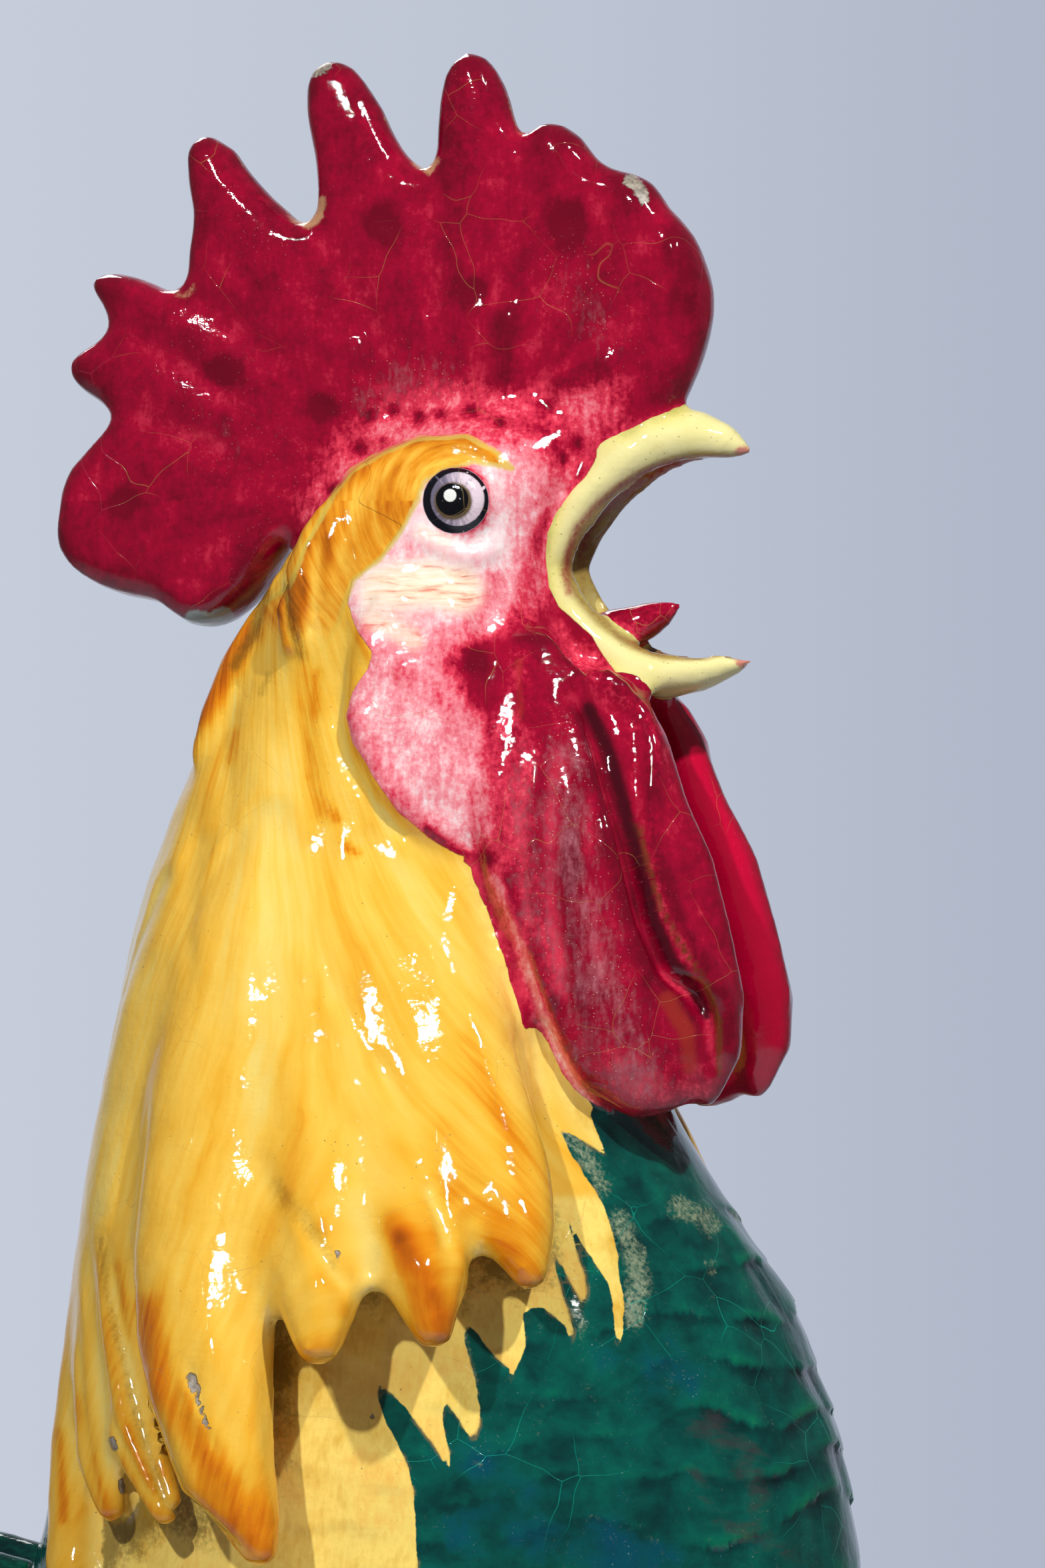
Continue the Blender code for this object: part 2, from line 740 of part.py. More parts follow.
LOCKS = {
    "lock_d": (
        (-38, -3.0, 440, 7, 0.35),
        (-42, 0.0, 414, 12.5, 0.75),
        (-43, 4.0, 386, 15.5, 1.05),
        (-42, 9.0, 357, 16, 1.2),
        (-38.5, 13.5, 335, 14, 1.2),
        (-31.5, 16.0, 318, 9.5, 1.0),
        (-24.5, 17.0, 307.5, 4.0, 0.55),
    ),
    "lock_b": (
        (-20, -3.0, 434, 6, 0.35),
        (-15, 0.0, 411, 9, 0.7),
        (-9, 4.0, 388, 10, 0.95),
        (-2.5, 9.5, 368, 10, 1.05),
        (2.5, 14.5, 354, 8, 0.95),
        (5.2, 17.5, 346.5, 4, 0.55),
    ),
    "lock_a": (
        (-10, -3.0, 434, 5, 0.35),
        (-4, 0.0, 413, 8, 0.65),
        (4, 4.5, 391, 9.5, 0.85),
        (11, 9.0, 374, 9.5, 0.95),
        (16.5, 12.5, 362, 7, 0.85),
        (19.0, 14.0, 356, 3.8, 0.5),
    ),
    "lock_c": (
        (-28, -3.0, 432, 6, 0.35),
        (-26.5, 0.0, 409, 9, 0.7),
        (-23.5, 4.5, 385, 10, 0.95),
        (-19.5, 10.0, 365, 9.8, 1.05),
        (-16.5, 15.0, 351, 8.2, 1.0),
        (-15.0, 18.0, 344, 5.0, 0.65),
    ),
    "lock_e": (
        (-52, -3.0, 432, 6, 0.35),
        (-58, -0.5, 405, 7.5, 0.6),
        (-62, 2.0, 375, 7, 0.75),
        (-61.5, 5.0, 347, 6.4, 0.8),
        (-55.5, 8.0, 324, 5.6, 0.75),
        (-47, 9.5, 312, 3.2, 0.45),
    ),
    "lock_f": (
        (-60, -3.0, 424, 5.5, 0.35),
        (-65, -0.5, 399, 7, 0.6),
        (-68, 1.5, 368, 8, 0.7),
        (-68, 4.0, 338, 7.5, 0.75),
        (-65, 6.0, 320, 6, 0.65),
        (-61.5, 7.0, 311, 3.2, 0.4),
    ),
    "lock_g": (
        (-68, -3.0, 400, 5, 0.35),
        (-72, -1.0, 376, 6, 0.55),
        (-74, 0.5, 348, 7, 0.65),
        (-74.5, 1.5, 320, 7, 0.7),
        (-73, 3.0, 299, 6, 0.65),
        (-70, 4.5, 286, 3.2, 0.4),
    ),
}


def standing(path, side, thickness):
    """Keys in space for a path measured from the side of the body."""
    half = thickness / UNIT / 2
    keys = []
    for x, stand, z, wide, share in path:
        keys.append((x, side * (flank(x, z) + stand), z, wide, share * half))
    return keys


def make_lock(path, thickness):
    return lambda side: sweep(
        "lock", standing(path, side, thickness), away, sides=8, steps=1, round_ends=(True, True)
    )


under_locks = ["body", "lobe_{s}", "wattle_{s}"]
for lock, path in LOCKS.items():
    both_sides(lock, make_lock(path, LOCK_THICKNESS), "yellow", under_locks)
    under_locks.append(lock + "_{s}")

# Small locks on the nape, under the back of the comb

NAPE_LOCKS = {
    "nape_lock_a": (
        (-25, -0.6, 500, 3.0, 0.5),
        (-31, 0.0, 492, 5.0, 0.9),
        (-35.5, 0.6, 483, 5.4, 1.0),
        (-37.5, 1.2, 475, 4.4, 0.95),
        (-38.0, 1.6, 469, 2.0, 0.5),
    ),
    "nape_lock_b": (
        (-39.5, -0.6, 487, 2.6, 0.5),
        (-47, 0.0, 477, 4.2, 0.9),
        (-52, 0.4, 466, 4.6, 1.0),
        (-56, 0.8, 456, 4.0, 0.9),
        (-59, 1.2, 448, 1.8, 0.5),
    ),
}
under_nape = ["body", "comb", "lobe_{s}", "lock_d_{s}", "lock_e_{s}"]
for lock, path in NAPE_LOCKS.items():
    both_sides(lock, make_lock(path, NAPE_LOCK_THICKNESS), "amber", under_nape)
    under_nape.append(lock + "_{s}")

# Wings, folded against the sides

WING = (
    (17, -4.0, 262, 12, 0.45),
    (4, -1.0, 258, 24, 0.9),
    (-24, 1.0, 250, 33, 1.05),
    (-58, 1.0, 236, 31, 1.0),
    (-88, 2.0, 219, 22, 0.85),
    (-108, 5.0, 206, 14, 0.65),
    (-122, 13.0, 197, 6, 0.35),
)


def make_wing(side):
    keys = standing(WING, side, WING_THICKNESS)
    return sweep("wing", keys, sideways(side), sides=12, steps=1, round_ends=(True, True))


all_locks = [lock + "_{s}" for lock in LOCKS]
both_sides("wing", make_wing, "amber", ["body"] + all_locks)

# Tail: a thick core that carries arched sickle feathers

TAIL_CORE = (
    (-88, 0, 222, 0.75, 30),
    (-108, 0, 240, 0.95, 34),
    (-132, 0, 250, 1.00, 30),
    (-154, 0, 246, 0.80, 24),
    (-172, 0, 232, 0.50, 15),
)


core_half = TAIL_CORE_WIDTH / UNIT / 2
core = sweep(
    "tail_core",
    [(x, y, z, wide * core_half, tall) for x, y, z, wide, tall in TAIL_CORE],
    upward,
    sides=18,
    steps=1,
    round_ends=(True, True),
)
place(core, "tail_core", "tail", ["body", "wing_r", "wing_l"])

# Each key: x, distance from the middle plane, height, share of thickness, half width
SICKLES = {
    "sickle_a": (
        (-84, 7, 266, 0.8, 6),
        (-100, 8.5, 285, 1.0, 12),
        (-127, 11, 289, 1.1, 14),
        (-162, 15, 274, 1.1, 15),
        (-193, 19, 243, 1.1, 15),
        (-214, 22, 199, 1.05, 13),
        (-222, 23, 150, 0.9, 9),
        (-218, 22, 112, 0.35, 2),
    ),
    "sickle_b": (
        (-94, 21, 254, 0.8, 6),
        (-113, 25, 266, 1.0, 11),
        (-140, 29, 259, 1.1, 13),
        (-165, 32, 235, 1.1, 13.5),
        (-182, 34, 200, 1.05, 12),
        (-188, 35, 163, 0.85, 8),
        (-184, 34, 134, 0.35, 2),
    ),
    "sickle_c": (
        (-100, 33, 232, 0.8, 6),
        (-119, 38, 238, 1.0, 10),
        (-139, 41, 226, 1.1, 12),
        (-153, 43, 200, 1.05, 11.5),
        (-160, 44, 169, 0.85, 8),
        (-158, 43, 144, 0.35, 2),
    ),
}
UNDER_FEATHERS = {
    "tail_feather_a": (
        (-146, 6, 256, 0.9, 8),
        (-168, 8, 234, 1.1, 12),
        (-182, 10, 199, 1.1, 12),
        (-188, 11, 160, 0.9, 9),
        (-186, 10, 128, 0.35, 2),
    ),
    "tail_feather_b": (
        (-138, 18, 222, 0.9, 8),
        (-152, 20, 199, 1.1, 10.5),
        (-160, 21, 168, 1.0, 9),
        (-160, 20, 142, 0.35, 2),
    ),
}


# The sickles arch round this point
ARCH_MIDDLE_X = -110
ARCH_MIDDLE_Z = 150


def from_arch(x, y, z):
    return x - ARCH_MIDDLE_X, 0, z - ARCH_MIDDLE_Z


def make_sickle(path):
    half = SICKLE_THICKNESS / UNIT / 2
    return lambda side: sweep(
        "sickle",
        [(x, side * apart, z, share * half, tall) for x, apart, z, share, tall in path],
        from_arch,
        sides=8,
        steps=1,
        round_ends=(True, True),
    )


tail_root = ["body", "tail_core", "wing_{s}"]
under_tail = list(tail_root)
for name, path in {**SICKLES, **UNDER_FEATHERS}.items():
    both_sides(name, make_sickle(path), "tail", under_tail)
    under_tail.append(name + "_{s}")

# Saddle feathers, hanging from the rump over the root of the tail

SADDLES = {
    "saddle_a": (
        (-86, -3.0, 292, 5, 0.4),
        (-95, 0.5, 272, 8.5, 0.85),
        (-103, 4.0, 250, 9, 1.0),
        (-108, 8.0, 228, 7, 0.9),
        (-109, 11.0, 212, 3, 0.4),
    ),
    "saddle_b": (
        (-70, -3.0, 288, 5, 0.4),
        (-77, 1.0, 272, 8, 0.8),
        (-84, 5.0, 256, 8.5, 0.9),
        (-90, 8.5, 238, 7, 0.85),
        (-92, 11.0, 224, 3, 0.4),
    ),
}
under_saddles = tail_root + [name + "_{s}" for name in SICKLES] + all_locks
for name, path in SADDLES.items():
    both_sides(name, make_lock(path, SADDLE_THICKNESS), "bronze", under_saddles)
    under_saddles.append(name + "_{s}")

# Mound, hollow underneath. Each row: height, length and width, as shares

MOUND_SIDES = 28
MOUND = (
    (-1.00, 0.985, 0.985),
    (-0.95, 1.000, 1.000),
    (-0.80, 0.990, 0.990),
    (-0.55, 0.940, 0.935),
    (-0.30, 0.875, 0.860),
    (-0.12, 0.800, 0.775),
    (-0.03, 0.700, 0.665),
    (0.00, 0.560, 0.520),
)


def mound_rings(inset, drop, lowest):
    rings = []
    for height, along, wide in smooth_rows(MOUND, 1):
        z = max(height * BASE_HEIGHT - drop, lowest)
        if height == MOUND[0][0]:
            z = lowest
        centre = Vector((BASE_CENTRE_X, 0, z))
        half_x = along * BASE_LENGTH / 2 - inset
        half_y = wide * BASE_WIDTH / 2 - inset
        rings.append(oval(centre, Vector((1, 0, 0)), Vector((0, 1, 0)), half_x, half_y, MOUND_SIDES))
    return rings


def make_base():
    solid = mesh_of_rings(
        "base",
        mound_rings(0, 0, -BASE_HEIGHT),
        Vector((BASE_CENTRE_X, 0, -BASE_HEIGHT)),
        Vector((BASE_CENTRE_X, 0, 0)),
    )
    whole = solid.copy()
    whole.data = solid.data.copy()
    CUTTERS.objects.link(whole)
    below = -BASE_HEIGHT - BASE_WALL
    hollow = mesh_of_rings(
        "hollow",
        mound_rings(BASE_WALL, BASE_WALL, below),
        Vector((BASE_CENTRE_X, 0, below)),
        Vector((BASE_CENTRE_X, 0, -BASE_WALL)),
    )
    hollow.hide_render = True
    hollow.display_type = "WIRE"
    combine(solid, hollow, "DIFFERENCE")
    return solid, whole


base, base_whole = make_base()
place(base, "base", "moss", (), room_from=base_whole)
bpy.data.objects.remove(base_whole, do_unlink=True)

# Legs, spurs and feet

SHANK_HALF = SHANK_THICKNESS / UNIT / 2
LEG_Y = LEG_SPACING / UNIT / 2
FOOT_X = -33

# Each key: x, distance from the middle plane as a share, height, half depth and half width.
# The thigh's halves are units and the shank's are shares of its thickness.
THIGH = (
    (-30, 1.00, 196, 24, 19),
    (-31, 1.06, 168, 23, 17.5),
    (-35, 1.06, 140, 17, 14),
    (-40, 1.02, 116, 11, 10),
)
SHANK = (
    (-43, 1.00, 98, 1.35, 1.25),
    (-41, 1.00, 78, 1.05, 1.0),
    (-37, 1.00, 42, 1.0, 1.0),
    (-34, 1.00, 14, 1.15, 1.1),
    (FOOT_X, 1.00, 5, 1.3, 1.25),
)


def make_leg(side):
    keys = []
    for part, scale in ((THIGH, 1.0), (SHANK, SHANK_HALF)):
        for x, apart, z, along, wide in part:
            keys.append((x, side * apart * LEG_Y, z, along * scale, wide * scale))
    return sweep("leg", keys, sideways(side), sides=10, steps=1, round_ends=(True, True))


both_sides("leg", make_leg, "lemon", ["body", "base"])


# A spur grows back and inward from the shank. Each row: share of its reach, half width
SPUR_X = -44
SPUR_Z = 50
SPUR_INSET = 2
SPUR_TURN_IN = 3
SPUR_RISE = 3.5
SPUR = ((-0.25, 4.2), (0.1, 3.8), (0.5, 2.8), (0.85, 1.4), (1.0, 0.5))


def make_spur(side):
    reach = SPUR_LENGTH / UNIT
    keys = []
    for t, half in SPUR:
        y = side * (LEG_Y - SPUR_INSET - SPUR_TURN_IN * t)
        keys.append((SPUR_X - reach * t, y, SPUR_Z + SPUR_RISE * t * t, half, half))
    return sweep("spur", keys, upward, sides=8, steps=1, round_ends=(True, True))


both_sides("spur", make_spur, "straw", ["leg_{s}"])

# Each toe: its direction in degrees and its reach
TOES = ((4, 62), (-32, 50), (40, 52), (176, 38))

# Each row: share of the reach, half width and half height as shares of half a toe's thickness
KNUCKLES = (
    (-0.04, 1.15, 1.25),
    (0.20, 1.15, 1.2),
    (0.40, 0.92, 0.95),
    (0.58, 1.1, 1.15),
    (0.78, 0.8, 0.85),
    (0.95, 0.3, 0.4),
)
TOE_SINK = 0.5
TOE_LIFT_SHARE = 0.8


def make_foot(side):
    half = TOE_THICKNESS / UNIT / 2
    whole = None
    for turn, reach in TOES:
        way = math.radians(turn)
        ahead, out = math.cos(way), side * math.sin(way)
        keys = []
        for t, wide, tall in KNUCKLES:
            x = FOOT_X + ahead * reach * t
            y = side * LEG_Y + out * reach * t
            keys.append((x, y, half * tall * TOE_LIFT_SHARE - TOE_SINK, half * wide, half * tall))
        toe = sweep("foot", keys, upward, sides=7, steps=1, round_ends=(True, True))
        if whole is None:
            whole = toe
        else:
            combine(whole, toe, "UNION")
            bpy.data.objects.remove(toe, do_unlink=True)
    return whole


both_sides("foot", make_foot, "lemon", ["leg_{s}", "base"])

# Tuft of leaves between the legs, which carries the body

TUFT_HALF = TUFT_WIDTH / UNIT / 2
TUFT_X = -62
TUFT_CORE = (
    (0, -6, 1.25, 1.05),
    (1, 14, 1.10, 0.92),
    (2, 50, 0.85, 0.72),
    (3, 90, 0.80, 0.68),
    (6, 125, 0.95, 0.80),
    (8, 160, 1.20, 1.00),
    (9, 190, 1.30, 1.10),
)
TUFT_ROUNDNESS = 0.84

# Each row: share of a leaf's height, then its distance from the core, half width and half thickness
LEAVES = 5
LEAF_BACK = 2
LEAF_SINK = 4
LEAF_HEIGHT = 88
LEAF_STAGGER = 26
LEAF_LEAN = 9
LEAF = (
    (0.0, 0.95, 0.30, 0.16),
    (0.3, 0.92, 0.36, 0.18),
    (0.6, 0.98, 0.32, 0.16),
    (0.85, 1.14, 0.20, 0.12),
    (1.0, 1.30, 0.06, 0.06),
)


def make_tuft():
    whole = sweep(
        "tuft",
        [(TUFT_X + x, 0, z, deep * TUFT_HALF, wide * TUFT_HALF) for x, z, deep, wide in TUFT_CORE],
        sideways(1),
        sides=10,
        steps=1,
        round_ends=(False, False),
    )
    for i in range(LEAVES):
        turn = 2 * math.pi * (i + 0.5) / LEAVES
        tall = LEAF_HEIGHT + LEAF_STAGGER * (i % 2) + LEAF_LEAN * math.cos(turn)
        way = (math.cos(turn), TUFT_ROUNDNESS * math.sin(turn), 0)
        keys = []
        for t, reach, wide, thick in LEAF:
            x = TUFT_X + LEAF_BACK + TUFT_HALF * reach * way[0]
            y = TUFT_HALF * reach * way[1]
            keys.append((x, y, tall * t - LEAF_SINK, TUFT_HALF * wide, TUFT_HALF * thick))
        leaf = sweep("leaf", keys, lambda x, y, z, w=way: w, sides=6, steps=1, round_ends=(True, True))
        combine(whole, leaf, "UNION")
        bpy.data.objects.remove(leaf, do_unlink=True)
    return whole


place(
    make_tuft(),
    "support_tuft",
    "moss",
    ["body", "base", "leg_r", "leg_l", "foot_r", "foot_l", "spur_r", "spur_l"],
)

# The whole figure rests at z = 0, with the middle of its box on the origin

for cutter in list(CUTTERS.objects):
    bpy.data.objects.remove(cutter, do_unlink=True)
bpy.data.collections.remove(CUTTERS)
xs = [v.co.x for piece in BIRD.objects if piece.type == "MESH" for v in piece.data.vertices]
ys = [v.co.y for piece in BIRD.objects if piece.type == "MESH" for v in piece.data.vertices]
ORIGIN.location = (-(min(xs) + max(xs)) / 2, -(min(ys) + max(ys)) / 2, BASE_HEIGHT)
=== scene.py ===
"""Looks of a crowing rooster in painted tin glaze, built around its packed clay pieces.

The clay pieces are melted together as the glaze does, given the relief that the potter pressed in, painted,
and parted again into one piece for each clay node. Paint and relief are laid out in the pixels of the
photograph, on the side that it shows, and folded over onto the far side.
"""

import json
import math

import bmesh
import bpy
import numpy as np
from mathutils import Matrix, Vector, noise
from mathutils.bvhtree import BVHTree


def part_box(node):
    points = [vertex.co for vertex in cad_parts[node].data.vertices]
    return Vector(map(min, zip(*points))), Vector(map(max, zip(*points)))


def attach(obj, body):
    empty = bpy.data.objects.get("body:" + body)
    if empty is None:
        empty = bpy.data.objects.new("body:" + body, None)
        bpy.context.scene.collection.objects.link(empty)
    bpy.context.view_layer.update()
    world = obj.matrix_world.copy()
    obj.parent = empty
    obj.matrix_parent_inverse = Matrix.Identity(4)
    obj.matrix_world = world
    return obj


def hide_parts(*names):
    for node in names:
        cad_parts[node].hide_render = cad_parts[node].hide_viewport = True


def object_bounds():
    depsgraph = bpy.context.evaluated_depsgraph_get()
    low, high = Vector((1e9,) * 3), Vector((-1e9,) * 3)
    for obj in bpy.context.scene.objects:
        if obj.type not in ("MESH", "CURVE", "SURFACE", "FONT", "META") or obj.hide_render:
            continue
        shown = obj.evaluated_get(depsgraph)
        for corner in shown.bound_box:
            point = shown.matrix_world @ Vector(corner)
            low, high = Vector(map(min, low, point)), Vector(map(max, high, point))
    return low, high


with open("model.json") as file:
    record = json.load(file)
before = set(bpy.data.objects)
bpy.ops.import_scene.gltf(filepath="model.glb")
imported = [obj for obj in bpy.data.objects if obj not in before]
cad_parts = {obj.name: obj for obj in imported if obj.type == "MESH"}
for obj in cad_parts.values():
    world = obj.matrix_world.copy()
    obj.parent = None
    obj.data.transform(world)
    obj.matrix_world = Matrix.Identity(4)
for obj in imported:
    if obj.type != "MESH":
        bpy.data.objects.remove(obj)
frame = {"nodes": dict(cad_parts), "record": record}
CAD_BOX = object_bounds()

MM = 0.001

# Photograph: its size in pixels, and the camera that took it

PHOTO_WIDTH = 1568
PHOTO_HEIGHT = 2352
PIXEL = 0.000125
PHOTO_MIDDLE = np.array([0.0745, 0.0, 0.503])
CAMERA_TURN = math.radians(18)
CAMERA_DISTANCE = 1.2
SENSOR = 24.0

RIGHT = np.array([math.cos(CAMERA_TURN), math.sin(CAMERA_TURN), 0.0])
AHEAD = np.array([-math.sin(CAMERA_TURN), math.cos(CAMERA_TURN), 0.0])
CAMERA_PLACE = PHOTO_MIDDLE - CAMERA_DISTANCE * AHEAD

# Clay

WELD = 1e-6
SEAM_FILL = 0.00026
FOLD_FILL = 0.0013
BIRD_GRAIN = 0.0011
TAIL_GRAIN = 0.0013
LEG_GRAIN = 0.0012
GROUND_GRAIN = 0.0018
BIRD_NORMAL_ROUNDS = 6
NORMAL_ROUNDS = 4
TAIL_ROUNDS = 14
LEG_ROUNDS = 6
GROUND_ROUNDS = 6
LEAST_BODY = 3000
WEIGHT_LEVELS = 20
BEND_ROUNDS = 14
BEND_GAIN = 2.0

SLOT_OF = {entry["node"]: entry["material_slot"] for entry in frame["record"]["subparts"]}


def both(*stems):
    return [stem + side for stem in stems for side in ("_r", "_l")]


GROUPS = {
    "head": ["head"],
    "neck": ["neck"],
    "torso": ["torso"],
    "comb": ["comb"],
    "beak": ["upper_beak", "lower_beak"],
    "tongue": ["tongue"],
    "eye": both("eye"),
    "lobe": both("lobe"),
    "wattle": both("wattle"),
    "lock": both(*("lock_" + letter for letter in "abcdefg")),
    "nape": both("nape_lock_a", "nape_lock_b"),
    "wing": both("wing"),
    "saddle": both("saddle_a", "saddle_b"),
}
FACE_GROUPS = ("head", "comb", "beak", "tongue", "eye", "lobe", "wattle")
BIRD_NODES = [node for group in GROUPS.values() for node in group]
TAIL_NODES = ["tail_core"] + both("sickle_a", "sickle_b", "sickle_c", "tail_feather_a", "tail_feather_b")
LEG_NODES = both("leg", "foot", "spur")
GROUND_NODES = ["base", "support_tuft"]

# Meshes


def numbers(items, key, width, kind=float):
    """One row of this many numbers for each item of a mesh."""
    values = np.empty(len(items) * width, kind)
    items.foreach_get(key, values)
    return values.reshape(-1, width)


def points_of(mesh):
    return numbers(mesh.vertices, "co", 3)


def normals_of(mesh):
    return numbers(mesh.vertices, "normal", 3)


def edges_of(mesh):
    return numbers(mesh.edges, "vertices", 2, np.int32)


def quads_of(mesh):
    return numbers(mesh.loops, "vertex_index", 1, np.int32).reshape(-1, 4)


def move_points(mesh, points):
    mesh.vertices.foreach_set("co", np.asarray(points, np.float32).ravel())
    mesh.update()


def linked(name, data):
    """A new object in the scene."""
    made = bpy.data.objects.new(name, data)
    bpy.context.scene.collection.objects.link(made)
    return made


def evaluated(holder):
    """The object with its modifiers worked out."""
    bpy.context.view_layer.update()
    return holder.evaluated_get(bpy.context.evaluated_depsgraph_get())


def soften(mesh, rounds, weight):
    """Evens the surface by rounds of Blender's own smoothing, more where weight is near 1."""
    holder = linked("soften", mesh)
    group = holder.vertex_groups.new(name="soften")
    level = np.round(np.clip(weight, 0, 1) * WEIGHT_LEVELS).astype(int)
    for step in range(WEIGHT_LEVELS + 1):
        group.add(np.flatnonzero(level == step).tolist(), step / WEIGHT_LEVELS, "REPLACE")
    smooth = holder.modifiers.new("soften", "SMOOTH")
    smooth.factor = 1.0
    smooth.iterations = rounds
    smooth.vertex_group = group.name
    points = points_of(evaluated(holder).data)
    bpy.data.objects.remove(holder, do_unlink=True)
    move_points(mesh, points)
    return points


def flatten(mesh, rounds, weight, kept):
    """Softens the surface, then gives back the broad form that the softening took from it."""
    before = points_of(mesh)
    soft = soften(mesh, rounds, weight)
    lean = soften(mesh, kept, weight)
    move_points(mesh, before)
    broad = soften(mesh, kept, weight)
    move_points(mesh, soft + broad - lean)


def spread(values, edges, rounds):
    """Evens rows of numbers over the surface, each with the mean of its neighbours."""
    count = len(values)
    first, second = edges.T
    neighbours = np.maximum(np.bincount(edges.ravel(), minlength=count), 1)
    for _ in range(rounds):
        mean = np.empty_like(values)
        for axis, column in enumerate(values.T):
            total = np.bincount(first, weights=column[second], minlength=count)
            total += np.bincount(second, weights=column[first], minlength=count)
            mean[:, axis] = total / neighbours
        values = 0.5 * (values + mean)
    return values


def bend_of(mesh, points, edges):
    """From -1 on a ridge to 1 in a fold."""
    inward = ((spread(points, edges, BEND_ROUNDS) - points) * normals_of(mesh)).sum(axis=1) / MM
    return np.clip(inward * BEND_GAIN, -1, 1)


def connected(edges, count):
    """A number for each point, the same for points that edges join."""
    label = np.arange(count)
    while True:
        before = label.copy()
        first, second = label[edges[:, 0]], label[edges[:, 1]]
        low = np.minimum(first, second)
        np.minimum.at(label, first, low)
        np.minimum.at(label, second, low)
        label = label[label]
        label = label[label]
        if np.array_equal(before, label):
            return label


def without_pockets(mesh):
    """The mesh without the small closed pockets that the melt leaves in the seams."""
    label = connected(edges_of(mesh), len(mesh.vertices))
    size = np.bincount(label)[label]
    if size.min() >= LEAST_BODY:
        return mesh
    shape = bmesh.new()
    shape.from_mesh(mesh)
    gone = [vert for vert, its in zip(shape.verts, size) if its < LEAST_BODY]
    bmesh.ops.delete(shape, geom=gone, context="VERTS")
    shape.to_mesh(mesh)
    shape.free()
    return mesh


# Rolls of slip in the crevices beside the first lock and over the wattle: ends and radius in millimetres

SLIP = (
    ((69, 28.5, 489), (83, 33.4, 456), 3.2),
    ((70.4, 29.4, 489), (75.5, 27.8, 479), 2.6),
    ((75.5, 27.8, 479), (80, 28.4, 468), 2.6),
    ((80, 28.4, 468), (83.5, 30.4, 459), 2.6),
    ((90, 11.5, 521), (92, 11, 517), 4.5),
)
SLIP_STEPS = 12


def slip(joined):
    """Adds the slip to a mesh on both sides."""
    for start, end, radius in SLIP:
        for x, y, z in np.linspace(start, end, SLIP_STEPS):
            for side in (-1, 1):
                place = Matrix.Translation((x * MM, side * y * MM, z * MM))
                bmesh.ops.create_icosphere(joined, subdivisions=2, radius=radius * MM, matrix=place)


def melted(name, nodes, grain):
    """One mesh of even grain over copies of these nodes, swollen so that the seams between them fill."""
    joined = bmesh.new()
    for node in nodes:
        fill = FOLD_FILL if node.startswith(("wattle", "lock")) else SEAM_FILL
        clay = bmesh.new()
        clay.from_mesh(frame["nodes"][node].data)
        bmesh.ops.remove_doubles(clay, verts=clay.verts, dist=WELD)
        clay.normal_update()
        for vert in clay.verts:
            vert.co += vert.normal * fill
        part = bpy.data.meshes.new(node)
        clay.to_mesh(part)
        clay.free()
        joined.from_mesh(part)
        bpy.data.meshes.remove(part)
    if "neck" in nodes:
        slip(joined)
    mesh = bpy.data.meshes.new(name)
    joined.to_mesh(mesh)
    joined.free()
    holder = linked(name, mesh)
    remesh = holder.modifiers.new("even", "REMESH")
    remesh.mode = "VOXEL"
    remesh.voxel_size = grain
    remesh.use_smooth_shade = True
    made = bpy.data.meshes.new_from_object(evaluated(holder))
    bpy.data.objects.remove(holder, do_unlink=True)
    bpy.data.meshes.remove(mesh)
    made.name = name
    return without_pockets(made)


# Distances

REACH = 0.014
MARGIN = 90


def node_distances(points, nodes):
    """How far each point is from each node, up to REACH."""
    found = {}
    for node in nodes:
        low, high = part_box(node)
        around = np.all((points > np.array(low) - REACH) & (points < np.array(high) + REACH), axis=1)
        distance = np.full(len(points), REACH)
        mesh = frame["nodes"][node].data
        tree = BVHTree.FromPolygons([v.co for v in mesh.vertices], [p.vertices for p in mesh.polygons])
        for i in np.flatnonzero(around):
            hit = tree.find_nearest(points[i], REACH)
            if hit[3] is not None:
                distance[i] = hit[3]
        found[node] = distance
    return found


def photo_place(points):
    """Where points show in the photograph, with the far side folded onto the near one."""
    near = np.array(points, float)
    near[:, 1] = -np.abs(near[:, 1])
    away = near - CAMERA_PLACE
    depth = away @ AHEAD
    x = PHOTO_WIDTH / 2 + (away @ RIGHT) / depth * CAMERA_DISTANCE / PIXEL
    y = PHOTO_HEIGHT / 2 - (near[:, 2] - PHOTO_MIDDLE[2]) / depth * CAMERA_DISTANCE / PIXEL
    return np.stack([x, y], axis=1)


def line_distance(places, line):
    """The distance of each place to a line through points, and how far along the line it is, from 0 to 1."""
    line = np.asarray(line, float)
    spans = np.linalg.norm(np.diff(line, axis=0), axis=1)
    starts = np.concatenate([[0], np.cumsum(spans)])
    best = np.full(len(places), np.inf)
    along = np.zeros(len(places))
    for a, b, span, start in zip(line, line[1:], spans, starts):
        way = (b - a) / max(span, 1e-9)
        share = np.clip((places - a) @ way, 0, span)
        gap = np.linalg.norm(places - a - share[:, None] * way, axis=1)
        closer = gap < best
        best[closer] = gap[closer]
        along[closer] = (start + share[closer]) / starts[-1]
    return best, along


def inside(places, outline):
    """True for the places inside an outline."""
    odd = np.zeros(len(places), bool)
    x, y = places.T
    for a, b in zip(outline, np.roll(outline, -1, axis=0)):
        if a[1] == b[1]:
            continue
        crosses = (a[1] > y) != (b[1] > y)
        odd ^= crosses & (x < a[0] + (y - a[1]) * (b[0] - a[0]) / (b[1] - a[1]))
    return odd


def smoothstep(low, high, values):
    """Rises smoothly from 0 at low to 1 at high."""
    t = np.clip((values - low) / (high - low), 0, 1)
    return t * t * (3 - 2 * t)


def close_to(places, line, reach):
    """Which places are in the box around a line, grown by this reach."""
    low, high = line.min(axis=0) - reach, line.max(axis=0) + reach
    return np.flatnonzero(np.all((places > low) & (places < high), axis=1))


